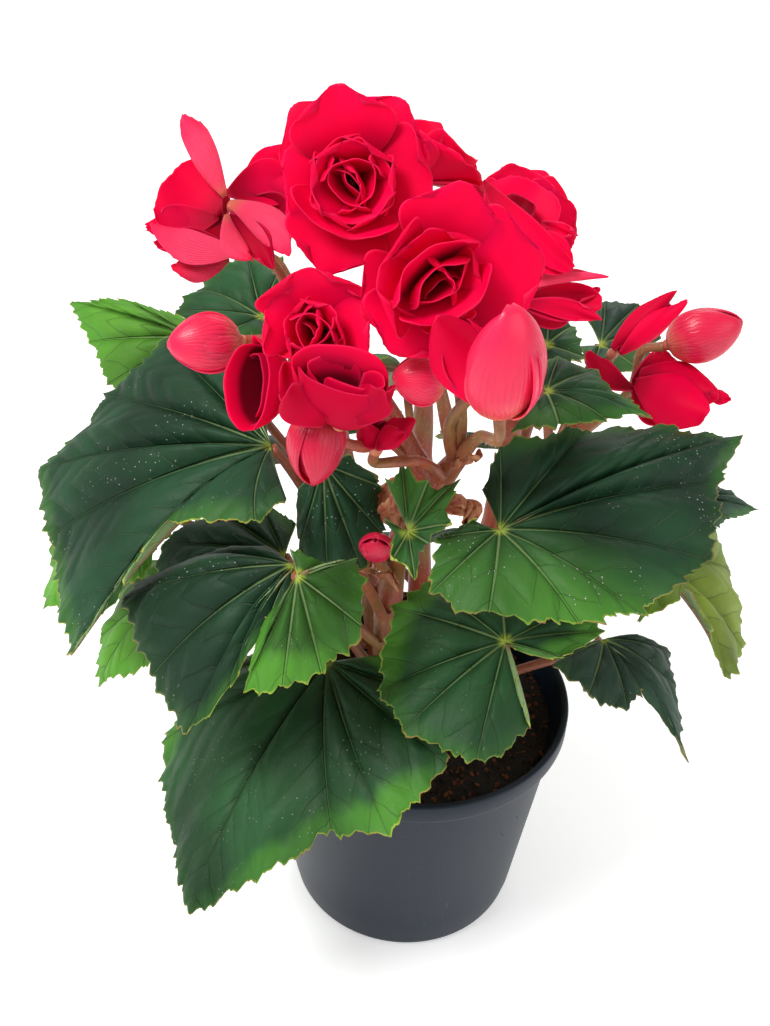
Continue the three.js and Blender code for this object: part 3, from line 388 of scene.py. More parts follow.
# Petals of the blooms that are seen from the side, where each falls its own way. A row gives the root and the
# tip from the bloom's base, to the right, up and towards the front view, then the width, the turn about its
# length (0 shows the face, 180 the back), how far its middle bows back and how far its sides are raised, as
# shares, its sideways sweep, the width of its tip as a share, and how much painted shade darkens it where it
# lies in shade.
SIDE_PETALS = {
    "flower_far_left": [
        [1.2, 3.6, 0, -11.6, 26.8, 3, 10, 150, 0.04, 0.5, 0, 0.85, 0],
        [-1.5, -1.5, -3, -17.5, 9, -2, 27, 8, 0.06, 0.2, 0, 0.9, 0.1],
        [-1.5, -2, -2, -23, -5.5, 0, 12, 10, 0.05, 0.2, 0, 0.5, 0.1],
        [6, -13.5, 3, -20.5, -6, 5, 11, 186, -0.05, 0.3, 2.5, 0.5, 0],
        [3, -13, 0, -20, -11, 2, 10, 10, 0.08, 0.3, 2, 0.5, 0.6],
        [2, -15, -1, -15.5, -17.5, 0, 8, 176, -0.05, 0.3, 1.5, 0.6, 0.4],
        [0, -2, -4, -12, 4, -12, 22, 20, 0.1, 0.3, 0, 0.7, 0.3],
        [0, -2, -4, -10, -8, -12, 20, 0, 0.1, 0.3, 0, 0.7, 0.3],
    ],
    "flower_left": [
        [-1.5, 2, 0, 20, 7.5, -8, 14.5, 0, 0.04, 0.15, -1.5, 0.8, 0.1],
        [2, 3, -2, 17.5, 17, -8, 15, 4, 0.05, 0.15, 1, 0.8, 0.1],
        [-1, -1, 1, 16.5, -16.5, 3, 11, 188, -0.08, 0.5, 2.5, 0.5, 0],
        [-1.5, -4, -1, 11.5, -19.5, 0, 9.5, 24, 0.1, 0.5, -1.5, 0.5, 0.75],
        [-2, -4, -1, 6, -18, 2, 7, 172, -0.05, 0.4, -2.5, 0.4, 0.2],
        [1, -1, -3, 14, -8, -8, 20, 10, 0.1, 0.3, 0, 0.8, 0.8],
    ],
    "flower_right": [
        [1, 5, -3, 8, 21.8, -5, 23, -4, 0.06, 0.15, 0, 0.9, 0.05],
        [-6.5, 19.5, 3, 18.5, -5.5, 2, 9, 6, -0.03, 0.15, 2, 0.85, 0.1],
        [5.5, 6.5, 1, 18, -4.5, 0, 12.5, 0, -0.04, 0.15, 1, 0.8, 0.1],
        [10, 8.7, 0, 20.4, 5, 0, 3.4, 30, 0, 0.2, 0, 0.3, 0.2],
        [1, 8, -1, 3, 17, -2, 14, -10, 0.15, 0.4, 0, 0.8, 0.9],
        [0, 0, -3, 12, 10, -14, 24, 20, 0.1, 0.3, 0, 0.8, 0.3],
        [0, 0, -3, 14, -4, -12, 20, 20, 0.1, 0.3, 0, 0.8, 0.3],
    ],
    "flower_right_low": [
        [-2, 0.8, 4, 26, 6.6, 3, 4.2, 170, 0, 0.3, 3.5, 0.2, 0],
        [0.6, 0, 1, 25, 0.5, 0, 11.5, 4, 0.1, 0.3, 0, 0.85, 0.45],
        [1, -0.5, 2, 24.3, -5, 2, 6, 24, 0.1, 0.3, -0.5, 0.6, 0.3],
        [1, 0.5, 0, 24.5, 4, -1, 6.5, -20, 0.08, 0.3, 0.5, 0.6, 0.5],
        [0, 0, -3, 20, 4, -12, 18, 0, 0.1, 0.3, 0, 0.7, 0.4],
    ],
    "flower_far_right": [
        [-0.7, -0.7, 3, 22, -12, 7, 21, 184, -0.16, 0.6, 0.5, 0.75, 0.2],
        [1.3, 3, 0, 27, -5.5, 2, 18, 176, -0.14, 0.5, 1.5, 0.6, 0.4],
        [23, -4, 1, 31.6, -6.3, 1, 5, 180, -0.05, 0.4, 0, 0.4, 0.3],
        [-0.7, -2.3, 0, -16.3, 9.6, 0, 9.5, 12, 0.12, 0.4, -1.5, 0.6, 0.75],
        [0, 0, -3, 18, 4, -10, 20, 10, 0.12, 0.4, 0, 0.7, 0.4],
        [0, 0, -3, 16, -10, -8, 20, 0, 0.12, 0.4, 0, 0.7, 0.4],
    ],
    "flower_lip": [
        [-4, 0, -4, -15.5, 13, -2, 12, 24, 0.1, 0.3, -2, 0.7, 0.6],
        [-5, -3, -1, -13.5, 6, 5, 12, 184, -0.14, 0.4, 1, 0.7, 0.8],
        [3.5, -3, 0, 9, 5.5, 6, 11, 176, -0.12, 0.4, 0, 0.7, 0.75],
    ],
    "bud_cluster": [
        [-8, -3.5, 1, -10.5, 3.8, 2, 7, 176, -0.14, 0.6, 0.5, 0.5, 0.65],
        [-7.5, -3.6, 2, 0.5, 0.6, 3, 7, 184, -0.2, 0.6, 1, 0.4, 0.6],
        [-7, -3, -1, 3.2, 4.8, 0, 7.5, 186, -0.12, 0.5, 0.5, 0.3, 0.85],
        [-8, -3, -3, -4, 4, -2, 11, 0, 0.12, 0.5, 0, 0.5, 1],
    ],
    "bud_far_right_left": [
        [0, 2.5, 0, 22.7, 23, 0, 9.5, 172, -0.08, 0.6, 1, 0.15, 0.25],
        [2.4, 0.5, 2, 26.2, 19.3, 2, 9, 192, -0.08, 0.6, -0.5, 0.3, 0],
        [0.5, 1, -2, 22, 19, -4, 10, 10, 0.1, 0.6, 0, 0.3, 0.4],
    ],
    "bud_large": [
        [-1.5, -1, 1, -15.5, 22.5, 4, 19, 186, -0.16, 0.6, -2, 0.5, 0.15],
        [-1, 0, -3, -11, 23, -3, 18, 12, 0.16, 0.6, 0, 0.5, 0.5],
    ],
}

# Cups of the blooms that open towards one side: sheets that run from the root out to a rim. A row gives the
# root and the middle of the rim, in the terms above, then the rim's half width, half height and turn in
# degrees, where round the rim the sheet starts and ends, where its tip stands and how far out, and how much
# painted shade darkens its inside and its outside.
CUP_PETALS = {
    "flower_lip": [
        [-2, -3, -6, 0, 10.6, 3, 12.4, 5.4, -15, 20, 215, 60, 0.6, 1, 0.3],
        [-1, -3, -5, 0.4, 10.2, 4, 12, 4.8, -15, 175, 385, 300, 0.5, 1, 0.7],
        [-1, -2, -6, 2.4, 10.2, 3, 7.6, 3.4, -22, -150, 75, -10, 0.3, 0.7, 0.25],
        [-2, -2, -6, -1.4, 10.9, 1.4, 7.4, 3, -10, 40, 240, 130, 0.3, 1, 0.45],
    ],
    "flower_left_low": [
        [3.5, 0, -7, -6.4, -2.6, 1, 5.4, 11, -4, 80, 290, 180, 0.3, 1, 0.2],
        [3.8, -0.5, -6, -5.6, -2.2, 2, 5, 11.4, -4, -100, 112, 96, 2.6, 1, 0.05],
        [3, 0, -7, -5.9, -2.6, -1, 3.6, 8.4, -4, -80, 120, 60, 0.5, 1, 0.6],
        [3, 0, -7, -6.2, -2.8, -2, 3.4, 8, -4, 100, 290, 200, 0.3, 1, 0.6],
    ],
}

# Closed buds: shells that wrap round one another. Each is [spin, how far round it reaches in degrees, length,
# radius, how far it stands off the shells inside it].
BUD_SHELLS = {
    "bud_large": [
        [0, 356, 30, 7.8, 0], [140, 190, 33, 8.3, 0.8], [40, 150, 30.5, 8.8, 0.4], [85, 90, 29, 9, 1.2],
    ],
    "bud_left": [[0, 356, 18.5, 6.2, 0], [60, 200, 20, 6.5, 0.4], [235, 200, 19.6, 6.7, 0.8]],
    "bud_hanging": [[0, 356, 18.5, 6.5, 0], [80, 200, 20, 6.9, 0.4], [250, 205, 19.6, 7.1, 0.8]],
    "bud_inner": [[0, 356, 12.5, 4.8, 0], [70, 200, 14, 5.2, 0.4], [250, 200, 13.6, 5.4, 0.8]],
    "bud_small_red": [[90, 356, 9.5, 3.6, 0], [180, 200, 10.4, 3.9, 0.3], [0, 210, 10.8, 4.0, 0.6]],
    "bud_far_right": [[0, 356, 22.5, 7, 0], [80, 200, 24.5, 7.4, 0.5], [260, 200, 24, 7.6, 1.0]],
}

# How much deeper in colour a bud is than the others.
DEEP_BUDS = {"bud_hanging": 0.45, "bud_small_red": 0.3, "bud_far_right": 0.25}

# Blooms whose petals show pale, streaked backs, and how ragged the edges of some blooms' petals are.
STREAKED = {"flower_far_left", "flower_left", "flower_right", "flower_right_low"}
RAGGED = {"flower_top": 0.016, "flower_right": 0.03, "flower_far_left": 0.04, "flower_left": 0.02}
LEAST_RAGGED = 0.008

# Papery stipules at the joints of the front stem: where each starts, which way it points, length, width.
STIPULES = [
    [[4, -45, 232], [-30, 40], 8, 6],
    [[9, -46, 236], [-70, 62], 7, 5],
    [[-12, -26, 172], [-110, 35], 13, 10],
    [[-16, -24, 176], [-160, 50], 11, 9],
    [[-9, -31, 198], [150, 60], 18, 14],
    [[-6, -33, 206], [-175, 45], 15, 12],
    [[9, -41, 220], [-60, -20], 13, 12],
    [[7, -42, 223], [-100, -40], 10, 9],
]

# ---- Sizes of the pot and the soil (mm) ----

POT_HEIGHT = 100.0
RIM_RADIUS = 60.0
RIM_BAND = 8.0
RIM_STEP = 3.5
FOOT_RADIUS = 46.0
FOOT_ROUNDING = 4.0
WALL = 1.8
FLOOR = 2.5
FOOT_SLOTS = 8
SLOT_WIDTH = 9.0
SLOT_HEIGHT = 1.6
SLOT_SLOPE = 0.8
PAD_RADIUS = 12.0
SOIL_TOP = 89.0
# Sides and rings of the top of the soil.
SOIL_GRID = (96, 40)
# Waves that make the soil uneven: how steep along x and along y, height, phase.
SOIL_LUMPS = ((0.21, 0.12, 0.7, 1.0), (-0.13, 0.27, 0.6, 2.2), (0.45, -0.3, 0.4, 0.4), (0.7, 0.62, 0.3, 3.3))
# The soil banked up against the front of the pot: its bearing, how far it spreads in degrees and its height.
BANK_BEARING = -62
BANK_SPREAD = 34
BANK_HEIGHT = 3.0

# ---- Sizes of the leaves (mm) ----

LOBE_BULGE = 0.035
# Leaves that are cut in between their tips, not rounded out.
NOTCHED = {"leaf_young": -0.2}
# The rows of teeth along a margin, each as shares of the tooth pitch and of the tooth depth.
TOOTH_ROWS = ((3.1, 1.0), (1.0, 1.1), (0.37, 0.35))
TOOTH_LEAN = 0.7
# Leaves with painted light on one side, which is painted lighter and greener where the light falls: which way
# that side lies, and over how many millimetres it fades.
LIT_SIDES = {
    "leaf_right_large": ((-0.35, -1.0, -0.2), 34.0),
    "leaf_young": ((0.1, 0.6, 0.8), 15.0),
}
EDGE_STEP = 0.8
PANEL_PUFF = 0.045
BLADE_ARCH = 0.08
# Side veins: how far apart they leave a main vein, and how steeply they slant away from it.
BRANCH_SPACING = 5.6
BRANCH_SLANT = 1.15
FURROW_HALF = 1.7
RIPPLE_HEIGHT = 0.3
STALK_RADIUS = 1.8
STALK_SIDES = 12
STALK_STEPS = 8
# Radii along a stalk: shares of its length, and the radius at each.
LEAF_STALK = ([0, 0.1, 0.85, 1], [1.9, 1.6, 1.95, 2.5])
FLOWER_STALK = ([0, 0.25, 0.85, 1], [2.6, 1.7, 1.5, 1.7])
STEM_STEPS = 10
FOOT_STANDOFF = 1.7

# ---- Sizes of the blooms (mm, and shares of a petal) ----

PETAL_ROOT_SHARE = 0.14
PETAL_ROOT_DEPTH = 1.2
PETAL_WIDEST = 0.6
PETAL_TIP_SHARE = 0.42
PETAL_CORNER = 0.24
INNER_TIP_SHARE = 0.82
INNER_CORNER = 0.1
CUP_CORNER = 0.22
CUP_TIP_SPREAD = 0.3
ARC_STEPS = 48
# Points across and along: outer, inner and side petals, cups, stipules and the shells of buds.
OUTER_GRID = (21, 17)
INNER_GRID = (17, 13)
SIDE_GRID = (21, 19)
CUP_GRID = (29, 19)
STIPULE_GRID = (11, 10)
SHELL_GRID = (25, 21)
# Rings and sides of a bloom's heart.
BALL_GRID = (10, 16)
HEART_RADIUS = 3.4
HEART_SHARE = 0.6
ROOT_BEHIND = 3.5
SHELL_FOOT = -1.2
SHELL_THICKNESS = 0.5
# Shells that reach further round than this, in degrees, aren't drawn in towards their tips.
CLOSED_SHELL = 300
STALK_END = 7.0
STALK_SAG = 4.0

# ---- Numbers that the random draws start from ----

SOIL_SEED = 4
STIPULE_SEED = 11
LEAF_SEED = 100
BLOOM_SEED = 500

# ---- The stage (metres and watts) ----

VIEW_PLACE = (-0.015, -0.342, 0.426)
VIEW_PITCH = 35.4
VIEW_ROLL = 2.93
LENS = 42.1
SENSOR = 36.0
FLOOR_HALF = 4.0
FLOOR_DROP = 0.0005
FLOOR_GLOW = 0.4
SKY_STRENGTH = 0.5
LIT_POINT = (-0.01, 0.0, 0.18)
# Each light's name, place, width and power.
LIGHTS = (
    ("key", (-0.7, -0.5, 1.35), 0.55, 19.0),
    ("fill", (1.0, -0.75, 0.7), 0.9, 4.0),
    ("back", (0.25, 1.2, 1.1), 0.9, 7.0),
)


# ---- What a user would change ----


def colour(name, description, code):
    return FloatVectorProperty(
        name=name, description=description, subtype="COLOR", size=3, min=0, max=1, default=srgb(code)
    )


def length(name, description, default):
    return FloatProperty(
        name=name, description=description, default=default, min=0, max=1, unit="LENGTH", precision=5
    )


def number(name, description, default, lowest, highest):
    return IntProperty(name=name, description=description, default=default, min=lowest, max=highest)


class BegoniaPotSettings(bpy.types.PropertyGroup):
    """The nursery pot and what fills it"""

    plastic: colour("Plastic", "Colour of the pot's moulded plastic", "0f1b29")
    plastic_worn: colour("Worn plastic", "Colour of the scuffs on the pot", "666c78")
    peat: colour("Peat", "Colour of the damp soil", "140c08")
    peat_dry: colour("Dry peat", "Colour of the dry crumbs and fibres", "7d4220")
    segments: number("Segments", "Flat faces round the pot", 128, 32, 256)
    crumbs: number("Crumbs", "Soil crumbs on each square metre, in thousands", 128, 0, 600)
    crumb_size: length("Crumb size", "Width of a large crumb", 0.0029)


class BegoniaLeafSettings(bpy.types.PropertyGroup):
    """The leaves"""

    dark: colour("Dark leaf", "Colour of an old leaf", "173b22")
    green: colour("Green leaf", "Colour of a grown leaf", "1f4724")
    bright: colour("Bright leaf", "Colour of a leaf that is still growing", "2a5616")
    light: colour("Light leaf", "Colour of a leaf in the light", "56902a")
    yellow: colour("Yellow leaf", "Colour of a leaf that is turning", "74882c")
    grey: colour("Grey leaf", "Colour of a dull leaf", "2a4434")
    margin: colour("Margin", "Colour of the outer part of the blade", "4c8a26")
    edge: colour("Edge", "Colour of the very edge", "b4c63e")
    tooth: colour("Tooth", "Colour of the tips of the teeth", "9c5a45")
    vein: colour("Vein", "Colour of the main veins", "7f9c62")
    underside: colour("Underside", "Colour of the blade's underside", "7f9c63")
    stalk: colour("Stalk", "Colour of the leaf stalks", "96543c")
    tooth_pitch: length("Tooth pitch", "Distance from one tooth to the next", 0.0056)
    tooth_depth: length("Tooth depth", "How far the teeth stand out", 0.0021)
    ruffle: length("Ruffle", "How far the margin waves up and down", 0.0016)
    blade: length("Blade", "Thickness of a leaf", 0.0008)


class BegoniaFlowerSettings(bpy.types.PropertyGroup):
    """The flowers and buds"""

    petal: colour("Petal", "Colour of a petal's inner face", "f60042")
    # The deep petal colour is also the colour that painted shade darkens petals towards.
    petal_deep: colour("Deep petal", "Colour towards a petal's root", "86001d")
    petal_back: colour("Petal back", "Colour of a petal's outer face", "f64468")
    rim: colour("Petal rim", "Colour of a petal's thin edge", "ff3c74")
    bud: colour("Bud", "Colour of a closed bud", "ee2650")
    bud_base: colour("Bud base", "Colour where a bud meets its stalk", "d8805e")
    ruffle: length("Ruffle", "How far a petal's edge waves", 0.0006)
    petal_thickness: length("Petal thickness", "Thickness of a petal", 0.00055)


class BegoniaStemSettings(bpy.types.PropertyGroup):
    """The stems and flower stalks"""

    skin: colour("Skin", "Colour of the stems", "9e4530")
    skin_green: colour("Green skin", "Colour of the stems' younger parts", "8e6a3e")
    papery: colour("Papery bract", "Colour of the dry bracts at the joints", "c08a60")
    hair: colour("Hair", "Colour of the fine hairs", "d9b8a8")
    hairs: number("Hairs", "Hairs on each square metre of skin, in thousands", 260, 0, 2000)
    hair_length: length("Hair length", "Length of the longest hairs", 0.0012)
    sides: number("Sides", "Flat faces round a stem", 18, 6, 48)


# ---- Node trees ----


class Value:
    """One socket of a node tree, in a form that takes part in plain sums."""

    def __init__(self, tree, socket):
        self.tree = tree
        self.socket = socket

    def sum(self, operation, first, second):
        return self.tree.add("ShaderNodeMath", {"operation": operation}, {0: first, 1: second})

    def __add__(self, other):
        return self.sum("ADD", self, other)

    def __radd__(self, other):
        return self.sum("ADD", other, self)

    def __sub__(self, other):
        return self.sum("SUBTRACT", self, other)

    def __rsub__(self, other):
        return self.sum("SUBTRACT", other, self)

    def __mul__(self, other):
        return self.sum("MULTIPLY", self, other)

    def __rmul__(self, other):
        return self.sum("MULTIPLY", other, self)


class Tree:
    """A node tree that is written as calls and sums."""

    def __init__(self, nodes):
        self.tree = nodes

    def add(self, kind, settings=None, inputs=None, output=0):
        """Adds a node with its settings and its sockets' values or links, and gives one of its outputs."""
        node = self.tree.nodes.new(kind)
        for name, value in (settings or {}).items():
            setattr(node, name, value)
        for key, value in (inputs or {}).items():
            socket = node.inputs[key]
            if isinstance(value, Value):
                self.tree.links.new(value.socket, socket)
            elif socket.type == "RGBA" and len(value) == 3:
                socket.default_value = (*value, 1.0)
            else:
                socket.default_value = value
        return Value(self, node.outputs[output]) if len(node.outputs) else None

    def attribute(self, name):
        return self.add("ShaderNodeAttribute", {"attribute_name": name}, output="Fac")

    def growth(self):
        """How far across a petal or sheath a point lies, and how far along it."""
        uv = self.add("ShaderNodeUVMap", {"uv_map": "growth"})
        across = self.add("ShaderNodeSeparateXYZ", None, {"Vector": uv})
        return across, Value(self, across.socket.node.outputs[1])

    def zigzag(self, value, half):
        """0 at every second multiple of half, and half at the ones between."""
        return self.add("ShaderNodeMath", {"operation": "PINGPONG"}, {0: value, 1: half})

    def rise(self, value, low, high):
        """0 below low and 1 above high, with a smooth slope between."""
        return self.add(
            "ShaderNodeMapRange",
            {"interpolation_type": "SMOOTHSTEP"},
            {"Value": value, "From Min": low, "From Max": high},
        )

    def fall(self, value, low, high):
        """1 below low and 0 above high, with a smooth slope between."""
        return self.add(
            "ShaderNodeMapRange",
            {"interpolation_type": "SMOOTHSTEP"},
            {"Value": value, "From Min": low, "From Max": high, "To Min": 1.0, "To Max": 0.0},
        )

    def mix(self, share, first, second):
        """Two colours mixed."""
        return self.add("ShaderNodeMix", {"data_type": "RGBA"}, {0: share, 6: first, 7: second}, output=2)

    def place(self):
        return self.add("ShaderNodeTexCoord", output="Object")

    def noise(self, where, scale, detail, roughness=0.5):
        return self.add(
            "ShaderNodeTexNoise",
            None,
            {"Vector": where, "Scale": scale, "Detail": detail, "Roughness": roughness},
        )

    def cells(self, where, scale, output="Distance"):
        return self.add("ShaderNodeTexVoronoi", None, {"Vector": where, "Scale": scale}, output)

    def stretch(self, where, scale, turn=(0.0, 0.0, 0.0)):
        return self.add("ShaderNodeMapping", None, {"Vector": where, "Rotation": turn, "Scale": scale})


# Pale specks on a blade: how many to a metre, and their colour.
SPECK_SCALE = 700.0
SPECK_SHADE = (0.55, 0.6, 0.52)
# Streaks across a petal's back and across a bud.
PETAL_STREAKS = 15.0
BUD_STREAKS = 17.0
# How far light spreads inside petals and buds, in metres, and its share in each colour.
GLOW_DEPTH = 0.004
PETAL_GLOW = (1.0, 0.1, 0.16)
BUD_GLOW = (1.0, 0.15, 0.2)


class Finish(Tree):
    """A material, from its base colour, roughness and relief to its shader."""

    def __init__(self, name):
        self.material = bpy.data.materials.new(name)
        self.material.use_nodes = True
        self.material.node_tree.nodes.clear()
        super().__init__(self.material.node_tree)

    def done(self, colour, roughness, relief=None, depth=0.0002, **uniform):
        inputs = {"Base Color": colour, "Roughness": roughness}
        if relief is not None:
            inputs["Normal"] = self.add("ShaderNodeBump", None, {"Height": relief, "Distance": depth})
        inputs.update({name.replace("_", " "): value for name, value in uniform.items()})
        shader = self.add("ShaderNodeBsdfPrincipled", None, inputs)
        self.add("ShaderNodeOutputMaterial", None, {"Surface": shader})
        return self.material


def toned(shade, share):
    """A colour made lighter or darker."""
    return tuple(share * c for c in shade)


def leaf_finish(name, base, settings, glow, dust):
    """A blade's upper side. Its veins are pale furrows darkened with painted shade, its margin is fresher,
    some blades have painted light on one side, and dust lies on it.
    """
    f = Finish(name)
    here = f.place()
    vein, rim, reach = f.attribute("vein"), f.attribute("rim"), f.attribute("reach")
    tone, lit_side = f.attribute("tone"), f.attribute("depth")
    wander = f.noise(here, 90.0, 3.0) - 0.5
    cloud = f.noise(here, 26.0, 2.0)
    thick = 0.8 - f.rise(reach, 0.0, 60.0) * 0.5
    main = f.fall(vein, thick * 0.3, thick * 1.1)
    side = f.zigzag(reach - vein * BRANCH_SLANT + wander * 6.0 + tone * 7.0, BRANCH_SPACING)
    branch = f.fall(side, 0.05, 0.4) * f.fall(vein, 6.0, 18.0) * f.rise(reach, 5.0, 12.0)
    valley_shade = f.fall(side, 0.0, 1.6) * f.fall(vein, 8.0, 20.0) * f.rise(reach, 5.0, 12.0)
    quilt = f.rise(side, 0.0, 4.5)
    body = f.mix(f.rise(cloud, 0.32, 0.68), toned(base, 0.62), toned(base, 1.3))
    # painted shade: darker in the valleys beside the side veins and along the main veins
    body = f.mix(valley_shade * 0.18 + f.fall(vein, 0.5, 4.0) * 0.25, body, toned(base, 0.5))
    patch = f.rise(f.noise(here, 13.0, 1.0), 0.42, 0.6)
    fresh = f.fall(rim + wander * 10.0 - patch * glow * 8.0, 0.5, 9.0) * glow * (0.15 + patch * 0.85)
    body = f.mix(fresh, body, settings.margin)
    # painted light: the lit side of the blade is mixed towards the margin's lighter green
    body = f.mix(lit_side * (0.3 + patch * 0.45 + cloud * 0.15), body, settings.margin)
    body = f.mix(branch * 0.12 * f.rise(cloud, 0.3, 0.6), body, settings.vein)
    body = f.mix(main * (0.6 - f.rise(reach, 3.0, 34.0) * 0.45), body, settings.vein)
    body = f.mix(f.fall(reach, 1.2, 3.4) * 0.55, body, settings.edge)
    body = f.mix(f.fall(rim, 0.1, 0.9) * (0.25 + patch * 0.45), body, settings.edge)
    body = f.mix(f.fall(rim, 0.0, 0.5) * f.rise(wander, -0.08, 0.12) * 0.85, body, settings.tooth)
    specks = f.fall(f.cells(here, SPECK_SCALE), 0.12, 0.22) * f.rise(f.noise(here, 46.0, 2.0), 0.5, 0.66)
    pick = f.add("ShaderNodeSeparateColor", None, {"Color": f.cells(here, SPECK_SCALE, "Color")})
    speck = specks * f.rise(pick, 0.56, 0.6) * dust
    body = f.mix(speck, body, SPECK_SHADE)
    rough = 0.5 + f.noise(here, 160.0, 3.0) * 0.16 + speck * 0.3
    fine = f.noise(here, 420.0, 3.0) * 0.2 + f.noise(here, 1300.0, 2.0) * 0.1
    relief = quilt * 0.4 - main * 0.8 - branch * 0.3 + fine + speck * 0.5
    return f.done(body, rough, relief, 0.0009, Specular_IOR_Level=0.24)


def leaf_back_finish(settings):
    """A blade's underside: paler, with veins that stand out."""
    f = Finish("leaf_underside")
    here = f.place()
    vein, rim, reach = f.attribute("vein"), f.attribute("rim"), f.attribute("reach")
    wander = f.noise(here, 90.0, 3.0) - 0.5
    main = f.fall(vein, 0.4, 1.5)
    side = f.zigzag(reach - vein * BRANCH_SLANT + wander * 5.0, BRANCH_SPACING)
    branch = f.fall(side, 0.15, 0.75) * f.fall(vein, 8.0, 22.0)
    body = f.mix(f.noise(here, 40.0, 3.0), toned(settings.underside, 0.8), settings.underside)
    body = f.mix(branch * 0.4, body, settings.edge)
    body = f.mix(main * 0.7, body, settings.tooth)
    body = f.mix(f.fall(rim, 0.3, 1.6) * 0.7, body, settings.edge)
    relief = main * 1.2 + branch * 0.8 + f.noise(here, 420.0, 3.0) * 0.3
    return f.done(body, 0.58, relief, 0.0007, Sheen_Weight=0.1)


def petal_finish(name, settings, kind):
    """A petal's face, its plain back, or a pale back with streaks that fan out from its root, each darkened
    with painted shade as far as its depth mark says.
    """
    f = Finish(name)
    here = f.place()
    across, along = f.growth()
    # depth: how much painted shade darkens the petal where it lies in shade
    rim, tone, depth = f.attribute("rim"), f.attribute("tone"), f.attribute("depth")
    wander = f.noise(here, 120.0, 2.0) - 0.5
    cloud = f.noise(here, 48.0, 2.0)
    relief = f.noise(here, 900.0, 2.0) * 0.08 + f.noise(here, 130.0, 2.0) * 0.3
    if kind == "streaked":
        fan = f.zigzag(across * PETAL_STREAKS + wander, 0.5)
        lines = f.fall(fan, 0.03, 0.3) * f.fall(along, 0.45, 0.9) * (0.4 + cloud)
        body = f.mix(f.rise(along, -0.05, 0.2), settings.bud_base, settings.petal_back)
        body = f.mix(f.rise(along + wander * 0.4, 0.55, 1.0) * 0.7, body, settings.petal)
        # painted shade: mixed towards the deep red as far as depth says
        body = f.mix(depth, f.mix(lines * 0.35, body, settings.petal_deep), settings.petal_deep)
        relief = relief - lines * 0.5
    elif kind == "back":
        body = f.mix(cloud * 0.35 + tone * 0.2, settings.petal, settings.petal_deep)
        body = f.mix(f.fall(along, 0.05, 0.3) * 0.6, body, settings.petal_deep)
        # painted shade: mixed towards the deep red as far as depth says
        body = f.mix(depth * 0.75, body, settings.petal_deep)
    else:
        body = f.mix(f.rise(along + tone * 0.25, 0.1, 0.7), settings.petal_deep, settings.petal)
        body = f.mix(f.rise(cloud, 0.3, 0.75) * 0.25 + tone * 0.16, body, settings.petal_deep)
        # painted shade: darker as depth says, and nearly black where it lies deepest in shade
        body = f.mix(depth * 0.75, body, settings.petal_deep)
        body = f.mix(f.rise(depth, 0.65, 1.0) * 0.8, body, toned(settings.petal_deep, 0.22))
    body = f.mix(f.fall(rim, 0.1, 0.5) * 0.18, body, settings.rim)
    return f.done(
        body,
        0.5 + cloud * 0.12,
        relief,
        0.0002,
        Specular_IOR_Level=0.06,
        Subsurface_Weight=0.25,
        Subsurface_Scale=GLOW_DEPTH,
        Subsurface_Radius=PETAL_GLOW,
    )


def bud_finish(settings):
    """A bud's smooth outer skin, streaked from its base."""
    f = Finish("bud_skin")
    here = f.place()
    across, along = f.growth()
    rim = f.attribute("rim")
    wander = f.noise(here, 140.0, 2.0) - 0.5
    streak = f.zigzag(across * BUD_STREAKS + wander * 2.4, 0.5)
    lines = f.fall(streak, 0.02, 0.25) * f.fall(along, 0.6, 0.95)
    body = f.mix(f.rise(along + wander * 0.3, -0.02, 0.34), settings.bud_base, settings.bud)
    body = f.mix(f.noise(here, 70.0, 2.0) * 0.5, body, settings.petal)
    body = f.mix(lines * f.rise(f.noise(here, 90.0, 2.0), 0.3, 0.7) * 0.3, body, settings.petal_deep)
    body = f.mix(f.fall(rim, 0.1, 0.8) * 0.3, body, settings.rim)
    body = f.mix(f.attribute("depth"), body, settings.petal_deep)
    relief = f.noise(here, 150.0, 2.0) * 0.4 - lines * 0.25
    return f.done(
        body,
        0.34,
        relief,
        0.0003,
        Specular_IOR_Level=0.3,
        Coat_Weight=0.04,
        Subsurface_Weight=0.25,
        Subsurface_Scale=GLOW_DEPTH,
        Subsurface_Radius=BUD_GLOW,
    )


def stem_finish(name, skin, young, settings):
    """A juicy stem: reddish, with short streaks along it, and greener where it is young."""
    f = Finish(name)
    here = f.place()
    long = f.stretch(here, (1.0, 1.0, 0.22))
    streak = f.noise(long, 420.0, 3.0)
    patch = f.noise(here, 38.0, 2.0)
    body = f.mix(f.rise(patch, 0.4, 0.68), skin, young)
    body = f.mix(f.rise(streak, 0.45, 0.75) * 0.55, body, toned(skin, 0.45))
    body = f.mix(f.fall(f.cells(here, 620.0), 0.1, 0.2) * 0.3, body, settings.papery)
    relief = streak * 0.6 + f.noise(here, 900.0, 2.0) * 0.3
    return f.done(
        body,
        0.42,
        relief,
        0.0004,
        Subsurface_Weight=0.15,
        Subsurface_Scale=0.003,
        Specular_IOR_Level=0.45,
    )


def papery_finish(settings):
    """Dry bracts: thin, tan and streaked."""
    f = Finish("papery_bract")
    here = f.place()
    streak = f.noise(f.stretch(here, (1.0, 1.0, 0.3)), 700.0, 3.0)
    body = f.mix(f.rise(streak, 0.35, 0.7), settings.papery, settings.skin)
    return f.done(body, 0.6, streak, 0.0003, Subsurface_Weight=0.2, Subsurface_Scale=0.002)


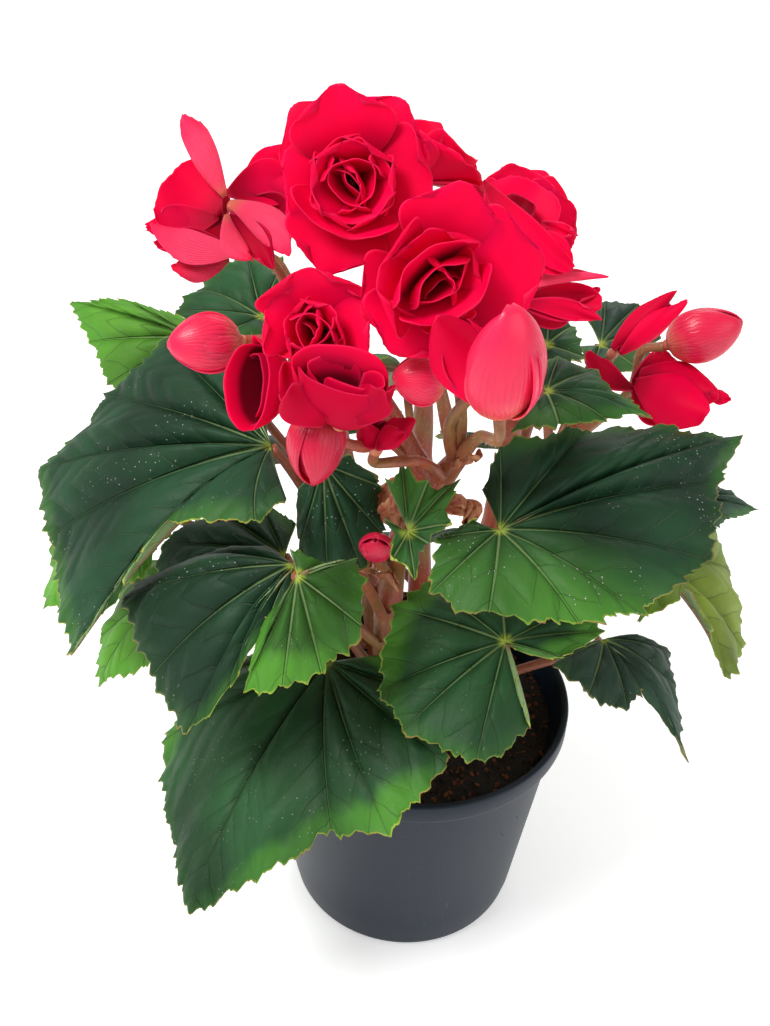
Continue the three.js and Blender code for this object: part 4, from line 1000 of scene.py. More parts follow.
def plastic_finish(settings):
    """Dark moulded plastic, satin, with fine scratches, scuffs and dust."""
    f = Finish("pot_plastic")
    here = f.place()
    cloud = f.noise(here, 16.0, 3.0)
    grain = f.noise(here, 1500.0, 2.0)
    steep = f.noise(f.stretch(here, (9.0, 9.0, 0.7), (0.5, 0.2, 0.7)), 60.0, 2.0)
    slanting = f.noise(f.stretch(here, (9.0, 9.0, 0.6), (1.3, 0.9, 0.1)), 45.0, 2.0)
    patchy = f.rise(f.noise(here, 30.0, 2.0), 0.5, 0.72)
    scratches = (f.rise(steep, 0.7, 0.74) + f.rise(slanting, 0.71, 0.75)) * patchy
    dust = f.fall(f.cells(here, 260.0), 0.05, 0.1) * f.rise(f.noise(here, 24.0, 2.0), 0.5, 0.66)
    body = f.mix(cloud, toned(settings.plastic, 0.8), toned(settings.plastic, 1.25))
    body = f.mix(scratches * 0.35 + dust * 0.5, body, settings.plastic_worn)
    rough = 0.36 + cloud * 0.12 + scratches * 0.2 + dust * 0.3
    relief = grain * 0.35 - scratches * 0.4 + cloud * 0.5
    return f.done(body, rough, relief, 0.00012, Specular_IOR_Level=0.24)


def peat_finish(name, wet, dry, share):
    """Soil, from damp and nearly black to dry and rusty."""
    f = Finish(name)
    here = f.place()
    grain = f.noise(here, 520.0, 4.0, 0.65)
    patch = f.noise(here, 260.0, 2.0)
    body = f.mix(f.rise(patch, 0.75 - share, 0.95 - share), wet, dry)
    body = f.mix(f.rise(grain, 0.5, 0.75) * 0.4, body, toned(wet, 0.4))
    return f.done(body, 0.88, grain, 0.0009)


def plain_finish(name, shade, roughness, **uniform):
    """One colour, very slightly uneven."""
    f = Finish(name)
    here = f.place()
    body = f.mix(f.noise(here, 3.0, 2.0), toned(shade, 0.97), shade)
    return f.done(body, roughness, **uniform)


# ---- Meshes ----


def unit(v):
    """A direction, or rows of directions, made one long."""
    v = np.asarray(v, float)
    return v / np.linalg.norm(v, axis=-1, keepdims=True)


def compass(bearing, height):
    """The direction at a bearing round z and a height above level, both in degrees."""
    b, h = math.radians(bearing), math.radians(height)
    return np.array([math.cos(h) * math.cos(b), math.cos(h) * math.sin(b), math.sin(h)])


def tube_faces(rings, sides):
    """The wall over rings of points, and its two caps, which meet in the two points after the last ring."""
    k, j = np.meshgrid(np.arange(rings - 1), np.arange(sides), indexing="ij")
    a = (k * sides + j).ravel()
    b = (k * sides + (j + 1) % sides).ravel()
    wall = np.stack([a, b, b + sides, a + sides], axis=1)
    ring = np.arange(sides)
    after = (ring + 1) % sides
    end = (rings - 1) * sides
    first = np.full(sides, rings * sides)
    caps = [np.stack([first, after, ring], axis=1), np.stack([first + 1, end + ring, end + after], axis=1)]
    return [wall, np.concatenate(caps)]


def grid_corners(columns, rows):
    """The first corner of each quad of a grid of points."""
    i, j = np.meshgrid(np.arange(columns - 1), np.arange(rows - 1), indexing="ij")
    return (i * rows + j).ravel()


def vertex_normals(points, faces):
    normals = np.zeros_like(points)
    for quads in faces:
        a, b, c = (points[quads[:, k]] for k in (0, 1, 2))
        flat = np.cross(b - a, c - a)
        for k in range(quads.shape[1]):
            np.add.at(normals, quads[:, k], flat)
    return unit(normals + 1e-12)


class Growth:
    """One piece of the plant, gathered from sheets and stalks, that becomes a single mesh."""

    # On leaves the depth mark is painted light on one side; on petals it is painted shade; on buds it is how
    # much deeper in colour they are.
    MARKS = ("vein", "rim", "reach", "tone", "depth")
    UNMARKED = 50.0

    def __init__(self):
        self.points, self.faces, self.skins, self.spread = [], [], [], []
        self.marks = {mark: [] for mark in self.MARKS}
        self.count = 0

    def add(self, points, faces, skins, spread=None, **marks):
        n = len(points)
        self.points.append(points)
        for block, skin in zip(faces, skins):
            self.faces.append(block + self.count)
            self.skins.append(np.full(len(block), skin))
        self.spread.append(np.zeros((n, 2)) if spread is None else spread)
        for mark in self.MARKS:
            values = np.asarray(marks.get(mark, self.UNMARKED), float)
            self.marks[mark].append(np.broadcast_to(values, (n,)))
        self.count += n

    def sheet(self, points, faces, outline, thickness, skins, spread, **marks):
        """A thin sheet with a face, a back and a closed edge. Its outline is anticlockwise from the face."""
        n = len(points)
        normals = vertex_normals(points, faces)
        both = np.concatenate([points, points - normals * np.reshape(thickness, (-1, 1))])
        backs = [block[:, ::-1] + n for block in faces]
        a, b = np.asarray(outline), np.roll(outline, -1)
        edge = np.stack([a, a + n, b + n, b], axis=1)
        face_skin, back_skin = skins
        for mark, value in marks.items():
            if np.size(value) != 2 * n:
                marks[mark] = np.tile(np.broadcast_to(value, (n,)), 2)
        self.add(
            both,
            [*faces, *backs, edge],
            [face_skin] * len(faces) + [back_skin] * len(faces) + [face_skin],
            np.concatenate([spread, spread]),
            **marks,
        )

    def tube(self, line, radii, skin):
        """A closed stalk of changing radius along a line of points."""
        way = unit(np.gradient(line, axis=0))
        side = unit(np.cross(way[0], [0.31, 0.9, 0.2]))
        rings = []
        turns = np.linspace(0, 2 * np.pi, STALK_SIDES, endpoint=False)
        for p, w, r in zip(line, way, radii):
            side = unit(side - w * (side @ w))
            other = np.cross(w, side)
            rings.append(p + r * (np.outer(np.cos(turns), side) + np.outer(np.sin(turns), other)))
        points = np.concatenate([*rings, line[:1], line[-1:]])
        self.add(points, tube_faces(len(line), STALK_SIDES), (skin, skin))

    def mesh(self, name, finishes):
        """The plain mesh of all that was gathered, with its marks, its growth map and its materials."""
        mesh = bpy.data.meshes.new(name)
        points = np.concatenate(self.points) * MM
        corners = np.concatenate([block.ravel() for block in self.faces])
        sizes = np.concatenate([np.full(len(block), block.shape[1]) for block in self.faces])
        mesh.vertices.add(len(points))
        mesh.vertices.foreach_set("co", points.astype(np.float32).ravel())
        mesh.loops.add(len(corners))
        mesh.loops.foreach_set("vertex_index", corners.astype(np.int32))
        mesh.polygons.add(len(sizes))
        mesh.polygons.foreach_set("loop_start", (np.cumsum(sizes) - sizes).astype(np.int32))
        mesh.polygons.foreach_set("material_index", np.concatenate(self.skins).astype(np.int32))
        mesh.polygons.foreach_set("use_smooth", np.ones(len(sizes), bool))
        mesh.update(calc_edges=True)
        spread = np.concatenate(self.spread)[corners]
        mesh.uv_layers.new(name="growth").data.foreach_set("uv", spread.astype(np.float32).ravel())
        for mark in self.MARKS:
            values = np.concatenate(self.marks[mark]).astype(np.float32)
            mesh.attributes.new(mark, "FLOAT", "POINT").data.foreach_set("value", values)
        for finish in finishes:
            mesh.materials.append(finish)
        mesh.validate()
        return mesh


def shown(name, mesh, node):
    """Puts a finished mesh in the scene in place of a node of the part."""
    piece = bpy.data.objects.new(name, mesh)
    bpy.context.scene.collection.objects.link(piece)
    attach(piece, BODY)
    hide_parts(node)
    return piece


def smooth_line(points, steps):
    """A smooth line through the points, with as many steps from each to the next."""
    p = np.asarray(points, float)
    p = np.concatenate([[2 * p[0] - p[1]], p, [2 * p[-1] - p[-2]]])
    out = []
    for i in range(1, len(p) - 2):
        for t in np.linspace(0, 1, steps, endpoint=False):
            a, b, c, d = p[i - 1 : i + 3]
            square, cube = 2 * a - 5 * b + 4 * c - d, 3 * b - a - 3 * c + d
            out.append(0.5 * (2 * b + (c - a) * t + square * t**2 + cube * t**3))
    out.append(p[-2])
    return np.array(out)


# ---- Leaves ----


def blade_normal(tips):
    """Which way a blade's upper side faces, on the whole."""
    return unit(sum(np.cross(a, b) for a, b in zip(tips, np.roll(tips, -1, axis=0))))


def blade_edge(tips, normal, settings, rng, bulge):
    """A blade's smooth edge, how far its teeth stand out, and for each of its points the share of the way
    across its panel, the panel's number and the distance along the edge."""
    pitch = settings.tooth_pitch / MM
    depth = settings.tooth_depth / MM
    edge, across, panel = [], [], []
    for i, (a, b) in enumerate(zip(tips[:-1], tips[1:])):
        span = np.linalg.norm(b - a)
        steps = 4 * max(2, round(span / (4 * EDGE_STEP)))
        t = np.arange(steps) / steps
        points = a + (b - a) * t[:, None]
        out = points - np.outer(points @ normal, normal)
        out /= np.maximum(np.linalg.norm(out, axis=1, keepdims=True), 1e-6)
        edge.append(points + out * (bulge * span * np.sin(np.pi * t))[:, None])
        across.append(t)
        panel.append(np.full(steps, i))
    edge = np.concatenate([*edge, tips[-1:]])
    across = np.append(np.concatenate(across), 1.0)
    panel = np.append(np.concatenate(panel), len(tips) - 2)
    gaps = np.linalg.norm(np.diff(edge, axis=0), axis=1)
    arc = np.concatenate([[0], np.cumsum(gaps)])
    wobble = arc + 1.3 * np.sin(arc / 4.3 + rng.uniform(0, 6)) + 0.9 * np.sin(arc / 7.1 + rng.uniform(0, 6))
    teeth = sum(saw_teeth(wobble, pitch * wide, depth * deep, rng) for wide, deep in TOOTH_ROWS)
    return edge, teeth, across, panel, arc


def saw_teeth(arc, pitch, depth, rng):
    """How far a row of uneven, forward-leaning teeth stands out at each distance along an edge."""
    tooth = arc / pitch
    first = math.floor(tooth.min())
    heights = rng.uniform(0.3, 1.3, math.ceil(tooth.max()) - first + 2)
    share = tooth - np.floor(tooth)
    saw = np.where(share < TOOTH_LEAN, share / TOOTH_LEAN, (1 - share) / (1 - TOOTH_LEAN))
    return depth * (heights[np.floor(tooth).astype(int) - first] * saw**1.2 - 0.5)


# The rings of points that a blade is made of: how far out each lies, as a share, and which of the edge's
# points it keeps.
RINGS = [
    *((s, 4) for s in (0.07, 0.14, 0.21)),
    *((s, 2) for s in (0.29, 0.37, 0.45, 0.53, 0.61)),
    *((s, 1) for s in (0.68, 0.75, 0.81, 0.865, 0.91, 0.945, 0.975, 1.0)),
]


def lit_side_share(name, points):
    """How much painted light makes each point of a blade lighter and greener, from the side of the leaf that
    it lies on.
    """
    if name not in LIT_SIDES:
        return np.zeros(len(points))
    towards, span = LIT_SIDES[name]
    share = np.clip(points @ unit(towards) / span + 0.35, 0, 1)
    return share * share * (3 - 2 * share)


def add_blade(growth, name, heart, tips, settings, rng):
    """A toothed, furrowed and ruffled blade, fanned out from its heart to its tips. Gives its normal."""
    tone = rng.uniform(0, 1)
    small = min(1.0, np.mean(np.linalg.norm(tips, axis=1)) / 30)
    crinkle = 1.6 if name in NOTCHED else 0.5 + 0.6 * small
    bulge = NOTCHED.get(name, LOBE_BULGE)
    normal = blade_normal(tips)
    edge, teeth, across, panel, arc = blade_edge(tips, normal, settings, rng, bulge)
    size = np.linalg.norm(edge, axis=1)
    spokes = len(edge) - 1
    puff = np.sin(np.pi * across)
    veins = len(tips) - 1
    half = np.minimum(across, 1 - across)
    chord = np.linalg.norm(tips[np.minimum(panel + 1, veins)] - tips[panel], axis=1)
    phase = rng.uniform(0, 6, 4)
    waves = zip((0.6, 0.4, 0.5), (5.2, 2.7, 11), phase)
    wave = sum(height * np.sin(arc / stretch + start) for height, stretch, start in waves)
    points, marks = [heart], {"vein": [0.0], "rim": [size.mean()], "reach": [0.0]}
    spread = [(0.0, 0.0)]
    rings = []
    for share, step in RINGS:
        keep = np.arange(0, spokes + 1, step)
        e, s = edge[keep], size[keep]
        push = share * (1 + teeth[keep] / s * share**12)
        quilt = PANEL_PUFF * puff[keep] * np.sin(np.pi * share**0.8)
        lift = s * (BLADE_ARCH * 4 * share * (1 - share) + quilt)
        from_vein = half[keep] * chord[keep] * share
        deepest = np.sin(np.pi * min(1.0, share * 1.05)) ** 0.5
        furrow = -1.0 * np.exp(-((from_vein / FURROW_HALF) ** 2)) * deepest
        branches = (share * s - from_vein * BRANCH_SLANT) / (2 * BRANCH_SPACING)
        ripple = RIPPLE_HEIGHT * np.sin(branches * 2 * np.pi) * np.minimum(1, from_vein / 4)
        ruffle = settings.ruffle / MM * crinkle * wave[keep] * share**5
        rise = lift + furrow + ripple * share + ruffle
        rings.append((len(points), keep, step))
        points.extend(heart + e * push[:, None] + np.outer(rise, normal))
        marks["vein"].extend(from_vein)
        marks["rim"].extend((1 - share) * s)
        marks["reach"].extend(share * s)
        spread.extend(zip((panel[keep] + across[keep]) / veins, np.full(len(keep), share)))
    points = np.array(points)
    start, keep, _ = rings[0]
    ring = start + np.arange(len(keep))
    triangles = [np.stack([np.zeros(len(ring) - 1, int), ring[:-1], ring[1:]], axis=1)]
    quads = []
    for (start, keep, step), (start2, keep2, step2) in zip(rings, rings[1:]):
        a = start + np.arange(len(keep))
        b = start2 + np.arange(len(keep2))
        if step == step2:
            quads.append(np.stack([a[:-1], b[:-1], b[1:], a[1:]], axis=1))
        else:
            b0, b1, b2 = b[:-1:2], b[1::2], b[2::2]
            triangles.append(np.stack([a[:-1], b0, b1], axis=1))
            triangles.append(np.stack([a[:-1], b1, a[1:]], axis=1))
            triangles.append(np.stack([a[1:], b1, b2], axis=1))
    firsts = [start for start, _, _ in rings]
    lasts = [start + len(keep) - 1 for start, keep, _ in rings]
    outer = [rings[-1][0] + i for i in range(1, spokes)]
    rim = [0, *firsts, *outer, *reversed(lasts)]
    rim_marks = {k: np.array(v) for k, v in marks.items()}
    thickness = settings.blade / MM * np.clip(0.45 + rim_marks["rim"] / 6, 0.45, 1.0)
    growth.sheet(
        points,
        [np.concatenate(quads), np.concatenate(triangles)],
        rim,
        thickness,
        (0, 1),
        np.array(spread),
        tone=tone,
        # painted light: one side of some blades is marked to be painted lighter and greener
        depth=lit_side_share(name, points - heart),
        **rim_marks,
    )
    return normal


def stalk_foot(foot, toward):
    """Where a leaf's stalk leaves its stem, on the side that it heads for, and which way it leaves."""
    name, height = foot
    line, radii = np.array(STEMS[name]["line"], float), STEMS[name]["radii"]
    k = next(i for i in range(len(line) - 1) if line[i + 1][2] > height)
    share = (height - line[k][2]) / (line[k + 1][2] - line[k][2])
    centre = line[k] + (line[k + 1] - line[k]) * share
    away = np.asarray(toward, float) - centre
    away[2] = 0
    return centre + unit(away) * (max(radii[k : k + 2]) + FOOT_STANDOFF), unit(away)


def add_leaf(growth, name, leaf, settings, rng):
    """A blade, and the stalk that bends from it to its stem."""
    heart = np.array(leaf["heart"], float)
    tips = np.array(leaf["tips"], float) if "tips" in leaf else back_tips(leaf)
    normal = add_blade(growth, name, heart, tips, settings, rng)
    under = heart - normal * 3 * STALK_RADIUS
    foot, away = stalk_foot(leaf["foot"], leaf.get("bend", heart))
    bend = np.asarray(leaf["bend"], float) if "bend" in leaf else (under + foot) / 2
    joint = heart - normal * 0.7
    line = smooth_line([joint, under + (foot - under) * 0.08, bend, foot, foot - away * 2.0], STALK_STEPS)
    growth.tube(line, np.interp(np.linspace(0, 1, len(line)), *LEAF_STALK), 2)


def back_tips(leaf):
    """The tips of a leaf behind, turned and drooped from one pattern."""
    bearing, droop = math.radians(leaf["bearing"]), math.radians(leaf["droop"])
    turn = Matrix.Rotation(bearing, 3, "Z") @ Matrix.Rotation(droop, 3, "Y")
    tips = []
    for angle, share in BACK_VEINS:
        a = math.radians(angle)
        tips.append(turn @ Vector((math.cos(a), math.sin(a), 0)) * share * leaf["length"])
    return np.array(tips)


# ---- Petals ----


def front_view():
    """The frame of the front view: its right, its up and the way towards whoever looks."""
    pitch, roll = math.radians(VIEW_PITCH), math.radians(VIEW_ROLL)
    return Matrix.Rotation(math.pi / 2 - pitch, 4, "X") @ Matrix.Rotation(roll, 4, "Z")


def view_axes():
    """The front view's right, up and near, as rows."""
    return np.array(front_view().to_3x3().transposed())


def across_axis(axis):
    """The directions square to a bloom's axis that point most nearly up, and to its right."""
    up = unit(np.array([0, 0, 1.0]) - axis * axis[2])
    return up, np.cross(up, axis)


def petal_grid(columns, rows):
    """How far across, from -1 to 1, and how far along each point of a petal lies, closer at its edges."""
    even = np.linspace(-1, 1, columns)[:, None]
    side = np.sin(even * np.pi / 2) * 0.5 + even * 0.5
    return side, (1 - (1 - np.linspace(0, 1, rows)) ** 1.25)[None, :]


def summed(values):
    """The running sum of the means of each value and the next, from 0."""
    return np.concatenate([[0], np.cumsum((values[1:] + values[:-1]) / 2)])


def notches(side, phase):
    """How deep the ragged cuts in a petal's tip are."""
    return np.abs(np.sin(side * 13 + phase[0])) * 0.6 + np.abs(np.sin(side * 29 + phase[1])) * 0.4 - 0.4


def petal_width(along, tip):
    """A petal's half width at a share of its length, as a share of its widest."""
    near_share = np.clip(along / PETAL_WIDEST, 0, 1)
    near = PETAL_ROOT_SHARE + (1 - PETAL_ROOT_SHARE) * np.sin(np.pi / 2 * near_share)
    far_share = np.clip((along - PETAL_WIDEST) / (1 - PETAL_WIDEST), 0, 1)
    far = np.sqrt(1 - (1 - tip**2) * far_share**2)
    return np.where(along < PETAL_WIDEST, near, far)


def add_petal(growth, base, axis, shape, settings, rng, skins, grid, depth=0.0, ragged=0.0, inner=False):
    """A sheet along an arc that leans out from the flower's axis, narrow at its root and cupped across."""
    spin, lean_root, lean_tip, reach, width, cup, roll = (*shape, 0.0)[:7]
    up, right = across_axis(axis)
    s = math.radians(spin)
    outward = up * math.cos(s) + right * math.sin(s)
    sideways = np.cross(axis, outward)
    sunk = HEART_RADIUS - PETAL_ROOT_DEPTH
    reach -= sunk
    start = math.radians(lean_root)
    root = base + sunk * (outward * math.sin(start) + axis * math.cos(start))
    arc = np.linspace(0, 1, ARC_STEPS + 1)
    lean = np.radians(lean_root + (lean_tip - lean_root) * arc)
    step_out, step_up = (summed(turned) / ARC_STEPS * reach for turned in (np.sin(lean), np.cos(lean)))
    side, row = petal_grid(*grid)
    phase = rng.uniform(0, 2 * np.pi, 6)
    waves = zip((0.5, 0.3, 0.2), (5.5, 11, 19), phase)
    edge_wave = sum(height * np.sin(side * count + start) for height, count, start in waves)
    corner = INNER_CORNER if inner else PETAL_CORNER
    along = row - corner * np.abs(side) ** 2.5 * row**3 + 0.008 * edge_wave * row**4
    along = np.clip(along - ragged * notches(side, phase[3:]) * row**10, 0, 1.02)
    half = petal_width(row, INNER_TIP_SHARE if inner else PETAL_TIP_SHARE) * width / 2
    out = np.interp(along, arc, step_out)
    rise = np.interp(along, arc, step_up)
    angle = np.radians(lean_root + (lean_tip - lean_root) * along)
    wrap = max(4 * math.atan(cup), 0.02)
    theta = side * wrap / 2
    x = half * np.sin(theta) / math.sin(wrap / 2) if wrap < 2.6 else half * side
    hollow = half * (1 - np.cos(theta)) / math.sin(wrap / 2) * (0.3 + 0.7 * row)
    hollow = hollow + roll * half * side
    ruffle = 0.6 * np.sin(side * 4.2 + phase[4] + row * 2) + 0.4 * np.sin(side * 8.5 + phase[5])
    hollow = hollow + settings.ruffle / MM * ruffle * row**3 * min(1.0, width / 20)
    hollow = hollow - 0.05 * reach * row**8 * (1 - 0.5 * np.abs(side)) * (1 if lean_tip > 20 else 0.3)
    points = (
        root
        + (out + hollow * -np.cos(angle))[..., None] * outward
        + (rise + hollow * np.sin(angle))[..., None] * axis
        + x[..., None] * sideways
    )
    petal_sheet(growth, points, side, row, half, reach, settings, skins, rng.uniform(0, 1), depth)


def petal_sheet(growth, points, side, row, half, reach, settings, skins, tone, depth):
    """Thickens a grid of points, across and then along a petal, into the petal."""
    columns, n = points.shape[:2]
    a = grid_corners(columns, n)
    quads = np.stack([a, a + 1, a + n + 1, a + n], axis=1)
    last = (columns - 1) * n
    rim_loop = [
        *range(n),
        *((i + 1) * n + n - 1 for i in range(columns - 2)),
        *(last + n - 1 - j for j in range(n)),
        *(last - (i + 1) * n for i in range(columns - 2)),
    ]
    rim = np.minimum((1 - np.abs(side)) * half, (1 - row) * reach * 0.8) + np.zeros((columns, n))
    spread = np.stack(np.broadcast_arrays(side * 0.5 + 0.5, row), axis=-1).reshape(-1, 2)
    from_tip = 1 - np.broadcast_to(row, rim.shape).ravel()
    thickness = settings.petal_thickness / MM * np.clip(0.45 + rim.ravel() / 4 + from_tip * 0.8, 0.45, 1.6)
    growth.sheet(
        points.reshape(-1, 3),
        [quads],
        rim_loop,
        thickness,
        skins,
        spread,
        rim=rim.ravel(),
        tone=tone,
        # how much painted shade darkens the petal
        depth=depth,
    )


def add_side_petal(growth, base, shape, settings, rng, skins, ragged):
    """A petal laid from its root to its tip, turned about that line, bowed along it and cupped across."""
    place = view_axes()
    near = place[2]
    root, tip = base + np.array(shape[:3]) @ place, base + np.array(shape[3:6]) @ place
    width, turn, bow, cup, sweep, tip_share, depth = shape[6:]
    reach = np.linalg.norm(tip - root)
    ahead = unit(tip - root)
    level = unit(near - ahead * (near @ ahead))
    t = math.radians(turn)
    face = level * math.cos(t) + np.cross(ahead, level) * math.sin(t)
    across = np.cross(face, ahead)
    side, row = petal_grid(*SIDE_GRID)
    phase = rng.uniform(0, 2 * np.pi, 5)
    along = row - PETAL_CORNER * np.abs(side) ** 2.5 * row**3 + 0.008 * np.sin(side * 9 + phase[0]) * row**4
    along = along - ragged * notches(side, phase[1:]) * row**10
    half = petal_width(row, tip_share) * width / 2
    raised = cup * half * side**2 * (0.4 + 0.6 * row) - bow * reach * 4 * along * (1 - along)
    raised = raised + settings.ruffle / MM * 1.3 * np.sin(side * 5 + phase[3] + row * 3) * row**2
    drawn_in = 1 - 0.22 * cup * side**2
    bend = sweep * 4 * along * (1 - along)
    points = (
        root
        + (along * reach)[..., None] * ahead
        + raised[..., None] * face
        + (side * half * drawn_in - bend)[..., None] * across
    )
    petal_sheet(growth, points, side, row, half, reach, settings, skins, rng.uniform(0, 1), depth)


def add_cup_petal(growth, base, shape, settings, rng, skins):
    """A petal of a cup that opens to one side: it widens from the root to its share of the rim."""
    columns, rows = CUP_GRID
    place = view_axes()
    root, middle = base + np.array(shape[:3]) @ place, base + np.array(shape[3:6]) @ place
    wide, tall, turn, start, end, tip_at, tip_out, painted_shade_in, painted_shade_out = shape[6:]
    reach = np.linalg.norm(middle - root) + min(wide, tall)
    side = np.linspace(-1, 1, columns)[:, None]
    row = np.linspace(0.04, 1, rows)[None, :] * (1 - CUP_CORNER * np.abs(side) ** 6)
    angle = math.radians(start) + math.radians(end - start) * (side * 0.5 + 0.5)
    phase = rng.uniform(0, 2 * np.pi, 3)
    wave = 1 + 0.035 * np.sin(angle * 3 + phase[0]) * row**3 + 0.02 * np.sin(angle * 7 + phase[1]) * row**4
    girth = (1 - (1 - row) ** 2.5) ** 0.8 * wave + 0.05 * row**9
    lean = math.radians(turn)
    flat_x, flat_y = wide * np.cos(angle) * girth, tall * np.sin(angle) * girth
    tip = tip_out * np.exp(-(((angle - math.radians(tip_at)) / CUP_TIP_SPREAD) ** 2)) * row**6
    flat_x = flat_x + tip * math.cos(math.radians(tip_at))
    flat_y = flat_y + tip * math.sin(math.radians(tip_at))
    x = flat_x * math.cos(lean) - flat_y * math.sin(lean)
    y = flat_x * math.sin(lean) + flat_y * math.cos(lean)
    points = root + row[..., None] * (middle - root) + x[..., None] * place[0] + y[..., None] * place[1]
    # painted shade: the face goes from the inside's shade near the root to the outside's shade near the rim,
    # and the back takes the outside's shade
    inside = painted_shade_in + (painted_shade_out - painted_shade_in) * np.clip((row - 0.62) / 0.33, 0, 1)
    dark = np.concatenate([inside.ravel(), np.full(inside.size, painted_shade_out)])
    rim_half = np.full_like(row, math.radians(end - start) / 2 * min(wide, tall))
    petal_sheet(growth, points, side, row, rim_half, reach, settings, skins, rng.uniform(0, 1), dark)


def add_shell(growth, base, axis, shape, skin, depth):
    """One sheath of a closed bud: part of an egg-shaped shell that shuts at the tip."""
    spin, around, reach, radius, off = shape
    columns, n = SHELL_GRID
    up, right = across_axis(axis)
    side = np.linspace(-1, 1, columns)[:, None]
    row = np.linspace(0.0, 1, n)[None, :]
    girth = np.sin(np.pi * row**0.82) ** 0.62
    flat = 1 - 0.1 * np.cos(2 * (side * math.radians(around) / 2))
    narrowing = 0.35 if around < CLOSED_SHELL else 0.0
    turn = math.radians(spin) + side * math.radians(around) / 2 * (1 - narrowing * row**3)
    r = (radius * girth * flat + off * (0.25 + 0.75 * girth)) * (1 + 0.015 * np.sin(turn * 5 + row * 4))
    r = np.maximum(r, 0.35 + off * 0.3)
    z = SHELL_FOOT + row * (reach + off * 0.5)
    points = (
        base
        + (r * np.cos(turn))[..., None] * up
        + (r * np.sin(turn))[..., None] * right
        + np.broadcast_to(z, r.shape)[..., None] * axis
    )
    a = grid_corners(columns, n)
    quads = np.stack([a, a + n, a + n + 1, a + 1], axis=1)
    last = (columns - 1) * n
    rim_loop = [
        *(last + j for j in range(n)),
        *(last - (i + 1) * n + n - 1 for i in range(columns - 1)),
        *(n - 2 - j for j in range(n - 1)),
        *((i + 1) * n for i in range(columns - 2)),
    ]
    rim = (1 - np.abs(side)) * radius * math.radians(around) / 2 + np.zeros((columns, n))
    spread = np.stack(np.broadcast_arrays(side * around / 360 + 0.5, row), axis=-1).reshape(-1, 2)
    growth.sheet(
        points.reshape(-1, 3),
        [quads],
        rim_loop,
        SHELL_THICKNESS,
        (skin, skin),
        spread,
        rim=rim.ravel(),
        tone=0.5,
        depth=depth,
    )


def add_ball(growth, centre, axis, radius, half_length, skin):
    """A small egg along an axis."""
    rows, sides = BALL_GRID
    up = unit(np.cross(axis, [0.3, 0.7, 0.64]))
    right = np.cross(axis, up)
    heights = np.linspace(-np.pi / 2, np.pi / 2, rows)[1:-1]
    turns = np.linspace(0, 2 * np.pi, sides, endpoint=False)
    ring = np.outer(np.cos(turns), up) + np.outer(np.sin(turns), right)
    rings = [centre + radius * math.cos(t) * ring + half_length * math.sin(t) * axis for t in heights]
    points = np.concatenate([*rings, [centre - half_length * axis], [centre + half_length * axis]])
    growth.add(points, tube_faces(len(heights), sides), (skin, skin))


# ---- Geometry node trees ----


class Shape(Tree):
    """A geometry tree with named inputs, run on one mesh and then taken off it."""

    def __init__(self, name, inputs):
        self.group = bpy.data.node_groups.new(name, "GeometryNodeTree")
        self.group.interface.new_socket("Geometry", in_out="INPUT", socket_type="NodeSocketGeometry")
        self.keys = {}
        for label, kind in inputs.items():
            socket = self.group.interface.new_socket(label, in_out="INPUT", socket_type="NodeSocket" + kind)
            self.keys[label] = socket.identifier
        self.group.interface.new_socket("Geometry", in_out="OUTPUT", socket_type="NodeSocketGeometry")
        super().__init__(self.group)
        self.entry = self.group.nodes.new("NodeGroupInput")

    def given(self, label="Geometry"):
        return Value(self, self.entry.outputs[label])

    def scaled(self, vector, share):
        return self.add("ShaderNodeVectorMath", {"operation": "SCALE"}, {0: vector, "Scale": share})

    def strewn(self, faces, thing, density, seed, turn, size, only=True):
        """Copies of a small thing, strewn over faces and square to them unless a turn is given."""
        spots = self.add(
            "GeometryNodeDistributePointsOnFaces",
            None,
            {"Mesh": faces, "Selection": only, "Density": density, "Seed": seed},
        )
        if turn is None:
            turn = Value(self, spots.socket.node.outputs["Rotation"])
        copies = self.add(
            "GeometryNodeInstanceOnPoints",
            None,
            {"Points": spots, "Instance": thing, "Rotation": turn, "Scale": size},
        )
        return self.add("GeometryNodeRealizeInstances", None, {"Geometry": copies})

    def coated(self, geometry, finish):
        inputs = {"Geometry": geometry, "Material": self.given(finish)}
        return self.add("GeometryNodeSetMaterial", None, inputs)

    def chance(self, low, seed):
        """A number between low and 1 for each thing."""
        return self.add("FunctionNodeRandomValue", None, {"Min": low, "Max": 1.0, "Seed": seed}, output=1)

    def close(self, *parts):
        """Joins the parts and ends the tree."""
        both = self.add("GeometryNodeJoinGeometry", None, {"Geometry": parts[0]})
        for part in parts[1:]:
            self.tree.links.new(part.socket, both.socket.node.inputs["Geometry"])
        self.add("NodeGroupOutput", None, {0: both})

    def run(self, mesh, values):
        """The mesh that the tree makes from this one."""
        rough = bpy.data.objects.new("rough", mesh)
        bpy.context.scene.collection.objects.link(rough)
        modifier = rough.modifiers.new("growth", "NODES")
        modifier.node_group = self.group
        for label, value in values.items():
            modifier[self.keys[label]] = value
        view = bpy.context.evaluated_depsgraph_get()
        made = bpy.data.meshes.new_from_object(rough.evaluated_get(view))
        rough.modifiers.remove(modifier)
        bpy.data.objects.remove(rough)
        if not made.polygons:
            raise RuntimeError(f"{self.group.name} made no faces")
        return made


